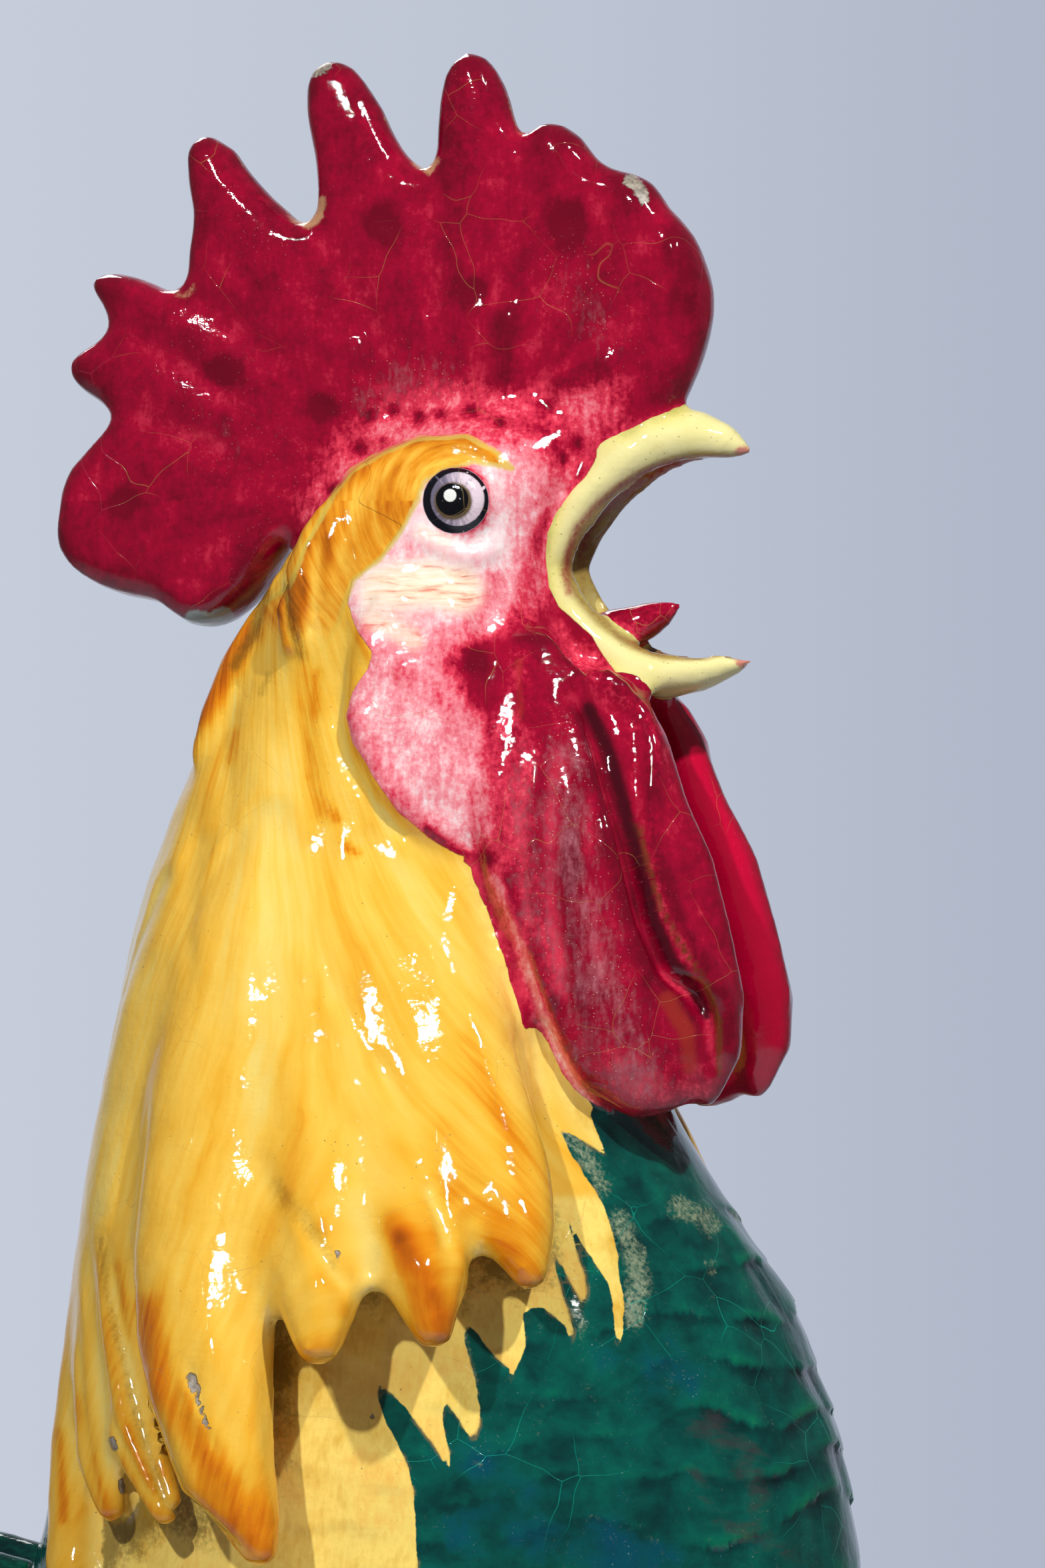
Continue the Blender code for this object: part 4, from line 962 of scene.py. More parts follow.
def bird_glaze():
    """The tin glaze of the head, neck and body, painted by the fields that its points carry."""
    p = Painter(bpy.data.materials.new("glaze"))
    field = p.field
    place = p.place()
    spot = field("spot", "Vector")
    flow = field("flow", "Vector")
    bend = field("bend")
    wobble = p.noise(place, 4.5)
    fine = p.noise(place, 0.9, 4.0, 0.65)
    mottle = p.noise(place, 13)
    streak = p.noise(p.stretch(p.warp(flow, 14, 4.0), (1.0, 0.09, 1.0)), 2.6, 4.0, 0.55)
    broad_streak = p.noise(p.stretch(p.warp(flow, 20, 6.0), (1.0, 0.16, 1.0)), 7.0)
    hairs = p.noise(p.stretch(flow, (1.0, 0.05, 1.0)), 0.9, 3.0, 0.6)
    brush = p.noise(p.stretch(place, (1.0, 1.0, 0.3)), 1.2, 3.0, 0.6)
    strokes = p.noise(p.stretch(p.warp(spot, 12, 9.0), (0.4, 1.1, 1.0)), 2.6, 4.0, 0.62)
    pools = p.noise(p.warp(place, 9, 6.0), 7.0, 4.0, 0.6)
    edge_shift = wobble * 1.3 + fine * 0.35

    def side_of(name, share=1.0):
        """1 on one side of a zone's brushed edge and 0 on the other."""
        return (field(name) + edge_shift * share).above(-EDGE, EDGE)

    # Breast and body green
    worn = (field("worn") + wobble * 0.9 + fine * 1.3).above(0.2, 0.95)
    green = p.ramp(
        0.44 + mottle * 0.5 + pools * 0.75 + strokes * 0.22 - bend * 0.42,
        (0.08, (2, 28, 30)), (0.34, (0, 60, 56)), (0.56, (0, 86, 74)), (0.78, (2, 108, 80)),
        (0.98, (26, 134, 86)),
    )
    green = p.coats(
        green,
        ((0, 62, 92), (field("blue") + mottle * 1.8 + pools * 1.6).above(0.3, 1.0) * 0.7),
        ((120, 150, 140), p.specks(place, 0.45, 0.7) * (pools + mottle).above(0.02, 0.3)),
        ((66, 48, 52), (field("brown") + strokes * 1.6 + mottle * 0.8).above(0.35, 0.9) * 0.6),
        (p.ramp(fine * 1.6 + 0.5, (0.25, (30, 84, 68)), (0.8, (170, 178, 142))), worn * 0.7),
    )

    # Hackle yellow
    amber = field("amber") + streak * 0.6 + broad_streak * 0.5 + mottle * 0.15 - bend * 0.25
    amber = amber + hairs * 0.5 * field("amber").above(0.1, 0.7)
    yellow = p.ramp(
        amber,
        (0.0, (240, 208, 108)), (0.22, (244, 196, 78)), (0.42, (238, 178, 52)), (0.6, (226, 142, 20)),
        (0.8, (204, 106, 10)), (1.0, (156, 72, 8)),
    )
    pale = p.ramp(
        brush * 0.5 + mottle * 1.2 + pools * 0.5 + 0.5,
        (0.15, (224, 176, 66)), (0.5, (250, 220, 114)), (0.85, (242, 184, 84)),
    )
    # Darker brown on the torso close under the locks: painted shade under the locks, with some grime
    lock_shade_and_grime = (field("lock_shade_and_grime") + wobble * 0.8 + fine * 0.8).above(0.35, 0.9)
    yellow = p.coats(
        yellow,
        (pale, field("pale")),
        ((84, 66, 22), lock_shade_and_grime * 0.7),
        ((120, 96, 70), p.specks(place, 0.5, 0.8) * (wobble + mottle).above(0.0, 0.3)),
    )
    on_yellow = side_of("yellow_zone")
    rim = (field("yellow_zone") + edge_shift).near(-0.1, 0.5) * (wobble + mottle).above(0.0, 0.25)

    # Wings and saddle
    feathers = field("feathers") + fine * 0.3 + streak * 0.2
    along = field("along") + wobble * 3 + field("feathers") * 6
    wing = p.ramp(
        feathers + mottle * 0.3,
        (0.0, (70, 30, 8)), (0.22, (150, 74, 10)), (0.5, (212, 128, 16)), (0.85, (240, 172, 44)),
        (1.0, (246, 204, 92)),
    )
    bar = p.ramp(
        feathers + mottle * 0.4,
        (0.05, (2, 24, 30)), (0.4, (0, 62, 84)), (0.8, (2, 106, 92)), (1.0, (60, 150, 110)),
    )
    wing = p.coats(
        wing,
        (bar, along.above(58, 62) * along.below(84, 88)),
        ((120, 58, 12), field("along").above(128, 156) * 0.7),
    )
    bronze = p.ramp(
        0.5 + streak * 1.3 + mottle * 0.6 - bend * 0.4,
        (0.1, (30, 44, 18)), (0.35, (96, 76, 20)), (0.6, (168, 112, 24)), (0.9, (220, 170, 58)),
    )

    # Face, comb and wattles: one crimson, thick or thin
    split = p.node("ShaderNodeSeparateXYZ", Vector=spot)
    x, y = p.signal(split, "X"), p.signal(split, "Y")
    around = p.joined(x, y)
    radius = p.far_from(around, (0, 0, 0))
    angle = y.math("ARCTAN2", x) * 9
    crimson = field("crimson")
    uneven = crimson.above(-0.05, 0.3) * crimson.below(0.7, 0.95)
    blots = p.noise(p.warp(place, 4, 2.5), 2.6, 4.0, 0.65)
    rays = p.noise(p.joined(radius * 0.16, angle), 1.5, 4.0, 0.6)
    thick = crimson + (brush * 0.45 + fine * 0.5 + blots * 0.55 + 0.02) * uneven
    thick = thick + rays * 0.45 * crimson.above(0.7, 0.84) + pools * 0.16 - bend * 0.14
    thick = thick + field("dot") * 0.55
    lines = p.noise(p.stretch(p.warp(spot, 8, 2.0), (0.13, 1.0, 1.0)), 1.1, 3.0, 0.6)
    cream = p.ramp(
        lines + mottle * 0.3 + 0.5, (0.35, (250, 236, 214)), (0.55, (248, 214, 180)), (0.7, (222, 128, 100)),
    )
    face = p.coats(
        p.ramp(thick, (0.05, BLUSH_WHITE), (0.32, PINK), (0.58, ROSE), (0.8, CRIMSON), (1.0, DEEP)),
        (cream, (field("cream") + fine * 0.3).above(0.2, 0.75) * 0.9),
        # painted shade, olive brown in the grooves
        ((104, 58, 22), (field("olive_groove_shade") + fine * 0.7 + wobble * 0.5).above(0.2, 0.8) * 0.7),
        ((158, 44, 34), (field("rust") + wobble * 0.4).above(0.3, 0.7) * 0.8),
        ((196, 150, 110), (field("bare") + fine * 0.8).above(0.35, 0.8) * 0.8),
        # painted shade in the wattle's groove
        ((54, 4, 16), (field("gully_shade") + fine * 0.3).above(0.1, 0.8) * 0.85),
        # Brighter crimson on the wattle faces that turn inward: painted light where the near wattle shades
        # the far one
        ((218, 6, 58), field("inner_painted_light") * 0.75),
    )
    on_face = side_of("face_zone", 0.6)

    # Brow and nape feathers
    plume = p.noise(p.joined(radius, angle * 0.2), 1.5, 4.0, 0.6)
    brow = p.ramp(
        plume * 0.9 + mottle * 0.6 - bend * 0.3 + 0.4,
        (0.2, (244, 190, 70)), (0.45, (226, 146, 30)), (0.65, (196, 106, 14)), (0.9, (116, 62, 14)),
    )
    brow_fade = field("brow_fade")
    on_brow = (field("brow_zone") + edge_shift * 1.2).above(-0.6, 0.5)
    on_brow = on_brow * (brow_fade + streak * 0.8).above(0.1, 0.6)
    brow_rim = (field("brow_zone") + edge_shift).near(0.0, 0.7) * brow_fade
    nape = (field("nape_shade") + streak * 0.7 + fine * 0.5).above(0.15, 0.95)

    # Beak
    lemon = p.ramp(
        mottle + bend * 0.4 + fine * 0.3 + 0.5,
        (0.2, (236, 226, 158)), (0.6, (226, 214, 132)), (0.9, (192, 184, 98)),
    )
    # The mouth's lining, browner and darker inside the gape: its own colour, with painted shade
    lining_and_shade = p.ramp(
        mottle + fine * 0.4 + 0.5, (0.2, (206, 186, 96)), (0.55, (150, 116, 60)), (0.9, (126, 60, 48)),
    )
    lemon = p.coats(
        lemon,
        ((110, 96, 60), p.specks(place, 0.5, 0.6)),
        ((200, 90, 100), (field("tip") + fine * 0.8).above(0.3, 0.8) * 0.8),
        (lining_and_shade, field("lining_and_shade")),
        ((150, 22, 44), field("rim_line") * (0.75 + fine)),
    )
    on_beak = side_of("beak_zone", 0.5)

    # Eye, in millimetres from its middle
    from_eye = radius + fine * 0.25
    ring = (from_eye - (5.0 + (x + y) * 0.06)).above(-0.15, 0.15) * from_eye.below(6.05, 6.3)
    iris = p.ramp(
        p.noise(p.joined(angle, radius * 0.4), 1.2) + 0.1 * x + 0.5,
        (0.2, (112, 104, 122)), (0.5, (176, 160, 176)), (0.8, (226, 206, 214)),
    )
    eye = p.coats(
        iris,
        ((96, 78, 52), (p.far_from(around, (-0.5, -0.1, 0)) + fine * 0.4).below(3.2, 3.9)),
        ((10, 10, 14), (p.far_from(around, (-0.7, 0.2, 0)) + fine * 0.15).below(2.95, 3.15)),
        ((14, 15, 22), ring * (p.noise(p.joined(angle, radius), 1.6) + wobble).above(-0.36, -0.26)),
        ((240, 240, 232), (p.far_from(around, (-1.1, 1.0, 0)) + fine * 0.15).below(1.05, 1.3)),
    )

    # Dust and painted sheen, chips and crazing
    # A pale pink film of dust, laid as a painted sheen along where highlights fall; it also roughens the
    # glaze
    hazy_sheen = (field("dust_and_sheen") + brush * 1.3 + fine * 0.8 + pools * 0.8).above(0.35, 1.5)
    chip = (field("chip") + fine * 0.7 + wobble * 0.4).above(0.4, 0.6)
    craze = p.crackle(place, 14, 0.07)
    on_green = (1 - on_face) * (1 - on_yellow) * (1 - on_beak)
    line_color = p.coats((206, 92, 104), ((186, 150, 80), on_yellow), ((0, 158, 134), on_green))

    color = p.coats(
        green,
        (yellow, on_yellow),
        ((120, 104, 70), rim * 0.6),
        (wing, side_of("wing_zone", 0.3)),
        (bronze, side_of("saddle_zone", 0.3)),
        (face, on_face),
        (brow, on_brow),
        ((206, 190, 84), brow_rim * 0.6),
        ((96, 66, 20), nape * 0.75),
        (lemon, on_beak),
        (eye, from_eye.below(6.1, 6.3) * field("eye_side")),
        # painted sheen and dust film
        ((222, 140, 152), hazy_sheen * 0.6),
        ((214, 170, 140), p.specks(place, 0.3, 0.8) * (field("dust_and_sheen") + mottle * 0.8 + 0.05).above(0.0, 0.6)),
        ((150, 166, 164), (field("drip") + fine * 0.4).above(0.35, 0.6) * 0.9),
        (p.ramp(fine * 1.5 + 0.5, (0.2, (96, 84, 74)), (0.8, (176, 164, 148))), chip),
        (line_color, craze * (0.28 + 0.4 * on_green)),
    )
    height = (
        p.noise(place, 3.4, 2.0) * 0.16 + fine * 0.02 + streak * 0.05 * on_yellow
        + plume * 0.08 * field("brow_zone").above(-0.2, 0.2) + lines * -0.03 + rays * on_face * 0.06
        + pools * 0.12 - craze * 0.02 - chip * 0.3 + on_face * 0.12 + on_beak * 0.1
    )
    roughness = 0.045 + mottle * 0.03 + chip * 0.4 + worn * 0.25 + hazy_sheen * 0.12 + fine * 0.02
    return p.finish(color, height, roughness)


# Form of the upper bird

GAPE = np.array([0.103, 0.0, 0.543])
UPPER_HACKLE = 1800
LOCK_D_DROP = 200
CORNER_REACH = 62
FLAT_ROUNDS = 110
BROAD_ROUNDS = 150
ROOT_ROUNDS = 50
FINE_ROUNDS = 8
FINE_SHARE = 0.35
CREASE_ROUNDS = 9
CREASE_SHARE = 0.12

bird = melted("bird", BIRD_NODES, BIRD_GRAIN)
edges = edges_of(bird)
points = points_of(bird)
distances = node_distances(points, BIRD_NODES)
gap_to = {group: np.minimum.reduce([distances[node] for node in nodes]) for group, nodes in GROUPS.items()}


def nearest(*groups):
    """Distance to the nearest of the groups."""
    return np.minimum.reduce([gap_to[group] for group in groups])


def off(*groups):
    """Distance to the nearest of the other groups."""
    return nearest(*(group for group in GROUPS if group not in groups))


def on(*groups):
    """Signed distance in millimetres, above 0 on these groups."""
    return (off(*groups) - nearest(*groups)) / MM


def onto(low, high, *groups):
    """Rises smoothly from 0 to 1 between two distances onto these groups."""
    return smoothstep(low, high, on(*groups))


places = photo_place(points)
broad = smoothstep(1.5 * MM, 9 * MM, off("head", "neck", "torso"))
lock_d_side = smoothstep(480, 360, places[:, 0]) * LOCK_D_DROP
upper_hackle = smoothstep(110, -150, places[:, 1] - UPPER_HACKLE - lock_d_side) * onto(0, 4, "neck", "lock")
from_corner = np.linalg.norm(places - BEAK_CORNER, axis=1) / CORNER_REACH
beak_corner = np.exp(-from_corner ** 4) * onto(0, 2, "wattle", "lobe", "head", "neck")
comb_root = smoothstep(9 * MM, 3 * MM, gap_to["comb"]) * smoothstep(9 * MM, 3 * MM, gap_to["head"])
flatten(bird, FLAT_ROUNDS, np.maximum(broad, upper_hackle), BROAD_ROUNDS)
soften(bird, ROOT_ROUNDS, np.maximum(comb_root, beak_corner))
fine_parts = nearest("comb", "beak", "eye") < 1 * MM
points = soften(bird, FINE_ROUNDS, np.where(fine_parts, FINE_SHARE, 1.0))

places = photo_place(points)
normals = spread(normals_of(bird), edges, BIRD_NORMAL_ROUNDS)
outer = smoothstep(-0.2, 0.3, normals[:, 1] * np.sign(points[:, 1]))
on_comb = onto(-2, 3, "comb")
height = (
    relief(places, RELIEF["hackle"]) * onto(-1, 2, "neck", "lock", "nape", "head")
    + relief(places, RELIEF["face"]) * onto(-1, 2, "head", "lobe", "nape", "neck") * outer
    + relief(places, RELIEF["wattle"]) * onto(-1, 2, "wattle", "lobe") * outer
    + relief(places, RELIEF["comb"]) * on_comb
)
for dent in dents(places):
    height -= DENT_DEPTH * dent * onto(-9, -4, "comb")
height += on_comb * (0.4 * lumps(points, 0.015, 1) + 0.16 * lumps(points, 0.006, 2))
scale_rise = 1.1 * (0.35 + 0.85 * smoothstep(960, 1160, places[:, 0]))
torso_lumps = 0.6 * lumps(points, 0.02, 3) + 0.3 * lumps(points, 0.009, 8)
height += onto(0, 8, "torso") * (scale_rise * body_scales(points) + torso_lumps)
height += onto(-1, 2, "wing") * (1.3 * wing_feathers(points)[0] - 0.4)
height -= (FOLD_FILL - SEAM_FILL) / MM * onto(-1.5, 1.0, "wattle", "lock")
height += onto(0, 4, "lock", "neck", "nape", "lobe", "head") * 0.22 * lumps(points, 0.008, 4)
move_points(bird, points + normals * height[:, None] * MM)
creases = smoothstep(2.5 * MM, 0.5 * MM, np.abs(nearest("wattle", "lock") - off("wattle", "lock")))
points = soften(bird, CREASE_ROUNDS, np.maximum(creases, CREASE_SHARE))
points[:, 2] = np.minimum(points[:, 2], CAD_BOX[1][2])
move_points(bird, points)

# Paint fields of the upper bird

BACK_GREEN_X = -4
SPINE_WIDTH = 9
SPINE_TOP = 452
SPINE_FRONT = 20
HACKLE_AXIS = 0.035
HACKLE_RADIUS = 0.055
FLOW_LEVEL = 463
THROAT_END = 1640
FAR_SHIFT = 40.0
RIM_WIDTH = 6
AMBER_BASE = 0.3

x, y, z = points.T / MM
places = photo_place(points)
right, down = places.T
from_eye = (places - EYE_PLACE) * PIXEL / MM
normals = normals_of(bird)
shift = np.where(y > 0, FAR_SHIFT, 0.0)
turn = np.arctan2(-np.abs(points[:, 1]), points[:, 0] - HACKLE_AXIS) * HACKLE_RADIUS / MM
sweep = -0.15 + 0.65 * smoothstep(260, 700, right - 0.3 * (down - 1500))
feathers, along_wing = wing_feathers(points)

upper = np.minimum(on("neck", "nape", "lock", *FACE_GROUPS), (THROAT_END - down) * PIXEL / MM)
ragged = 3.0 * lumps(points * (1, 1, 0.25), 0.006, 7)
back = np.maximum(on("lock"), x - BACK_GREEN_X + ragged)
spine = np.maximum(np.abs(y) - SPINE_WIDTH, z - SPINE_TOP) + ragged * 0.5
spine = np.where(x > SPINE_FRONT, MARGIN, spine)
yellow_zone = np.maximum(zone(places, YELLOW), upper)
yellow_zone = np.minimum(yellow_zone, np.minimum(back, np.maximum(spine, on("lock"))))

way_in = GAPE - points
way_in /= np.linalg.norm(way_in, axis=1, keepdims=True)
in_pale = smoothstep(-3.5, 3.5, zone(places, PALE_FACE)) * onto(-1, 1, "head", "lobe")
bases = {"crimson": 0.84 - 0.58 * in_pale, "amber": AMBER_BASE}
fields = {
    name: laid(places, np.zeros(len(points)) + bases.get(name, 0), strokes) for name, strokes in PAINT.items()
}
fields["cream"] *= onto(-1, 0, "head", "lobe")
fields["gully_shade"] *= onto(-1, 1, "wattle")
fields["worn"] *= onto(0, 1, "torso", "neck")
fields["pale"] = np.maximum(onto(-1, 1, "torso"), fields["pale"])
fields.update({
    "spot": np.stack([from_eye[:, 0], -from_eye[:, 1], shift], axis=1),
    "flow": np.stack([turn + sweep * (z - FLOW_LEVEL), z, shift], axis=1),
    "bend": bend_of(bird, points, edges),
    "dot": sum(dents(places)) * onto(-9, -4, "comb"),
    "feathers": feathers,
    "along": along_wing / MM,
    "wing_zone": on("wing"),
    "saddle_zone": on("saddle"),
    "yellow_zone": np.maximum(yellow_zone, on("lock", "nape")),
    "face_zone": np.minimum(
        np.maximum(zone(places, FACE), on("comb", "wattle", "tongue") + 1.5), on(*FACE_GROUPS) + 0.4,
    ),
    "brow_zone": np.minimum(zone(places, BROW), on("head", "nape", "neck", "lock", "lobe") + 0.3),
    "brow_fade": smoothstep(1010, 840, down) * smoothstep(330, 420, right),
    "beak_zone": np.minimum(zone(places, BEAK), on("beak", "head") + 0.3),
    "eye_side": onto(-1, 0.5, "eye", "head"),
    # Painted light: 1 on the wattle faces that turn towards the middle
    "inner_painted_light": smoothstep(0.1, -0.5, normals[:, 1] * np.sign(y)) * onto(-1, 1, "wattle"),
    # Painted shade, with some grime: 1 on the torso close under the locks, fading away from them
    "lock_shade_and_grime": smoothstep(13 * MM, 2 * MM, gap_to["lock"]) * onto(0, 2, "torso"),
    # Surfaces that face into the gape: the mouth's lining, darkened as painted shade
    "lining_and_shade": smoothstep(0.35, 0.75, (way_in * normals).sum(axis=1)) * onto(-0.5, 1, "beak", "head"),
    "rim_line": np.exp(-(line_distance(places, BEAK_RIM)[0] / RIM_WIDTH) ** 2) * onto(-0.5, 1, "beak"),
})


# Pieces

CAP_LIP = 1.2 * MM
CAP_DEPTHS = (2 * MM, 4 * MM, 7 * MM, 11 * MM, 16 * MM)
CAP_PROBES = 24
STRAY = 400
STRAY_ROUNDS = 4


def rims_of(quads):
    """Edges that only one quad uses, in that quad's direction."""
    sides = np.concatenate([quads[:, (i, (i + 1) % 4)] for i in range(4)])
    _, first, count = np.unique(np.sort(sides, axis=1), axis=0, return_index=True, return_counts=True)
    return sides[first[count == 1]]


def hub_inside(ring, normals, solid):
    """A place inside the solid that sees most of a rim, for the fan that closes the rim."""
    middle = ring.mean(axis=0)
    way = normals.mean(axis=0)
    probe = ring[:: max(1, len(ring) // CAP_PROBES)]
    best, most = middle, -1
    for depth in CAP_DEPTHS:
        hub = middle - depth * way
        held = 0
        for share in (0.0, 0.35, 0.7):
            for co in hub + share * (probe - hub):
                place, normal, _, _ = solid.find_nearest(co)
                held += (Vector(co) - place).dot(normal) < 0
        if held > most:
            best, most = hub, held
    return best


def cut_piece(name, quads, points, normals, fields, solid, material):
    """These quads as a closed piece of their own, with each rim closed on the hidden side."""
    used, local = np.unique(quads, return_inverse=True)
    number = np.full(len(points), -1)
    number[used] = np.arange(len(used))
    rims = number[rims_of(quads)]
    co = points[used]
    outward = normals[used]
    faces = local.reshape(-1, 4).tolist()
    label = connected(rims, len(used))
    added = []
    origin = list(range(len(used)))
    for its in np.unique(label[rims[:, 0]]):
        rim = rims[label[rims[:, 0]] == its]
        ring = np.unique(rim)
        lip = {vert: len(used) + len(added) + i for i, vert in enumerate(ring.tolist())}
        added += (co[ring] - CAP_LIP * outward[ring]).tolist()
        hub = len(used) + len(added)
        added.append(hub_inside(co[ring], outward[ring], solid).tolist())
        origin += ring.tolist() + [int(ring[0])]
        for a, b in rim.tolist():
            faces.append([b, a, lip[a], lip[b]])
            faces.append([lip[b], lip[a], hub])
    mesh = bpy.data.meshes.new(name)
    mesh.from_pydata(np.vstack([co, np.array(added).reshape(-1, 3)]).tolist(), [], faces)
    mesh.polygons.foreach_set("use_smooth", np.ones(len(mesh.polygons), bool))
    for field, values in fields.items():
        values = values[used][origin]
        kind, key = ("FLOAT_VECTOR", "vector") if values.ndim == 2 else ("FLOAT", "value")
        layer = mesh.attributes.new(field, kind, "POINT")
        layer.data.foreach_set(key, values.astype(np.float32).ravel())
    mesh.normals_split_custom_set_from_vertices(outward[origin].tolist())
    mesh.materials.append(material)
    piece = linked(name + "_glazed", mesh)
    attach(piece, "root")
    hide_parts(name)


def cut_apart(name, mesh, nodes, distances, fields, glaze):
    """One glazed piece for each node, cut from a melted mesh halfway between the nodes."""
    points = points_of(mesh)
    normals = normals_of(mesh)
    quads = quads_of(mesh)
    edges = edges_of(mesh)
    far = np.stack([distances[node] for node in nodes], axis=1)
    for _ in range(STRAY_ROUNDS):
        owner = far.argmin(axis=1)
        own = owner[edges[:, 0]] == owner[edges[:, 1]]
        label = connected(edges[own], len(points))
        size = np.bincount(label, minlength=len(points))
        stray = size[label] < STRAY
        for index in range(len(nodes)):
            islands = np.unique(label[owner == index])
            if len(islands):
                stray &= label != islands[size[islands].argmax()]
        if not stray.any():
            break
        far[stray, owner[stray]] = 2 * REACH
    owner = far[quads].sum(axis=1).argmin(axis=1)
    solid = BVHTree.FromPolygons(points.tolist(), quads.tolist())
    materials = {}
    for slot in sorted({SLOT_OF[node] for node in nodes}):
        materials[slot] = glaze.copy()
        materials[slot].name = slot + "_" + name
    bpy.data.materials.remove(glaze)
    for index, node in enumerate(nodes):
        cut_piece(node, quads[owner == index], points, normals, fields, solid, materials[SLOT_OF[node]])


cut_apart("glaze", bird, BIRD_NODES, distances, fields, bird_glaze())


class Layered(Painter):
    """A glaze in which brush strokes along the form show as bands of colour."""

    def __init__(self, *stops):
        super().__init__(bpy.data.materials.new("layered"))
        self.at = self.place()
        self.fine = self.noise(self.at, 0.9, 4.0, 0.65)
        self.pools = self.noise(self.warp(self.at, 8, 5.0), 7.0, 4.0, 0.6)
        self.streak = self.noise(self.stretch(self.field("flow", "Vector"), (1.0, 0.1, 1.0)), 1.8, 4.0, 0.6)
        shade = self.field("shade") + self.streak * 0.6 + self.pools * 0.45 + self.fine * 0.12
        self.bands = self.ramp(shade - self.field("bend") * 0.35, *stops)


def tail_glaze():
    """Green so thick that it is nearly black, thinner on the ribs."""
    p = Layered(
        (0.1, (3, 8, 12)), (0.4, (4, 26, 28)), (0.62, (2, 52, 50)), (0.85, (6, 84, 68)), (1.0, (40, 122, 88)),
    )
    craze = p.crackle(p.at, 13, 0.07)
    color = p.coats(
        p.bands,
        ((0, 40, 74), (p.pools + p.streak).above(0.12, 0.5) * 0.5),
        ((150, 160, 130), p.specks(p.at, 0.4, 0.5) * p.pools.above(0.05, 0.3)),
        ((0, 120, 104), craze * 0.5),
    )
    height = p.streak * 0.12 + p.pools * 0.14 + p.fine * 0.03 - craze * 0.02
    return p.finish(color, height, 0.09 + p.pools * 0.06)


def leg_glaze():
    """Lemon legs with brown pooled between the scales, and grey claws."""
    p = Layered(
        (0.05, (132, 104, 34)), (0.3, (196, 172, 66)), (0.5, (226, 212, 104)), (0.8, (238, 230, 146)),
    )
    craze = p.crackle(p.at, 9, 0.07)
    color = p.coats(
        p.bands,
        ((2, 84, 72), (p.field("thigh") + p.streak * 1.6 + p.pools * 0.6).above(0.42, 0.6)),
        ((58, 46, 36), (p.field("claw") + p.fine * 0.4).above(0.4, 0.75) * 0.9),
        ((110, 86, 50), p.specks(p.at, 0.4, 0.7) * p.pools.above(-0.05, 0.3)),
        ((150, 124, 60), craze * 0.35),
    )
    height = p.streak * 0.08 + p.pools * 0.1 + p.fine * 0.03 - craze * 0.02
    return p.finish(color, height, 0.1 + p.pools * 0.06)


def ground_glaze():
    """Moss green, brushed and dabbed, over a foot of bare clay."""
    p = Layered(
        (0.05, (18, 52, 26)), (0.3, (38, 92, 40)), (0.55, (84, 132, 52)), (0.8, (142, 168, 70)),
        (1.0, (196, 196, 98)),
    )
    craze = p.crackle(p.at, 12, 0.08)
    dabs = p.noise(p.warp(p.at, 14, 9.0), 12.0, 2.0)
    clay = p.ramp(
        p.fine + p.pools * 0.5 + 0.5, (0.2, (176, 146, 116)), (0.6, (206, 180, 150)), (0.9, (222, 202, 178)),
    )
    bare = (p.field("bare_clay") + p.pools * 1.4 + p.fine * 0.3).above(0.35, 0.5)
    color = p.coats(
        p.bands,
        ((122, 84, 34), (dabs + p.streak * 0.6).above(0.12, 0.3) * 0.75),
        ((214, 186, 74), (dabs * -1 + p.streak * 0.6).above(0.16, 0.34) * 0.7),
        ((66, 52, 30), p.specks(p.at, 0.6, 0.8) * p.pools.above(0.0, 0.3)),
        ((170, 180, 110), craze * 0.3),
        (clay, bare),
    )
    height = p.streak * 0.14 + p.pools * 0.16 + p.fine * 0.05 - craze * 0.02 - bare * 0.25
    return p.finish(color, height, 0.12 + p.pools * 0.08 + bare * 0.6)


FLOW_APART = 9.0
ARCH_MIDDLE = np.array([-0.0355, 0.210])
ARCH_STEPS = 36
BARB_PITCH = 0.0042
BARB_LEAN = 0.9
QUILL_REACH = 0.0012


def tail_form(points, normals, distances):
    """A raised quill along each feather, and barbs that sweep back from it."""
    gaps = np.stack([distances[node] for node in TAIL_NODES])
    owner = gaps.argmin(axis=0)
    out = points[:, (0, 2)] - ARCH_MIDDLE
    radius = np.linalg.norm(out, axis=1)
    turn = np.arctan2(out[:, 1], -out[:, 0])
    across = np.zeros(len(points))
    for index in range(1, len(TAIL_NODES)):
        mine = np.flatnonzero(owner == index)
        steps = np.linspace(turn[mine].min(), turn[mine].max(), ARCH_STEPS)
        slot = np.clip(np.searchsorted(steps, turn[mine]) - 1, 0, ARCH_STEPS - 2)
        middle = np.full(ARCH_STEPS - 1, np.nan)
        for i in np.unique(slot):
            its = radius[mine[slot == i]]
            middle[i] = np.ptp(its) / 2 + its.min()
        known = ~np.isnan(middle)
        centres = (steps[:-1] + steps[1:]) / 2
        across[mine] = radius[mine] - np.interp(turn[mine], centres[known], middle[known])
    on_feather = smoothstep(0, 2, (gaps[0] - gaps[1:].min(axis=0)) / MM)
    flat = smoothstep(0.15, 0.6, np.abs(normals[:, 1]))
    along = turn * radius
    barb = (along + BARB_LEAN * np.abs(across)) / BARB_PITCH + 0.8 * lumps(points, 0.02, 11)
    groove = np.abs(barb - np.round(barb)) * 2
    quill = np.exp(-(across / QUILL_REACH) ** 2)
    height = on_feather * flat * (0.8 * quill + 0.35 * smoothstep(0.0, 0.7, groove) - 0.25)
    height += 0.3 * lumps(points, 0.012, 12)
    shade = 0.42 + 0.22 * quill + 0.12 * groove - 0.2 * (1 - on_feather)
    flow = np.stack([across / MM, along / MM, owner * FLOW_APART], axis=1)
    return height, {"flow": flow, "shade": shade}


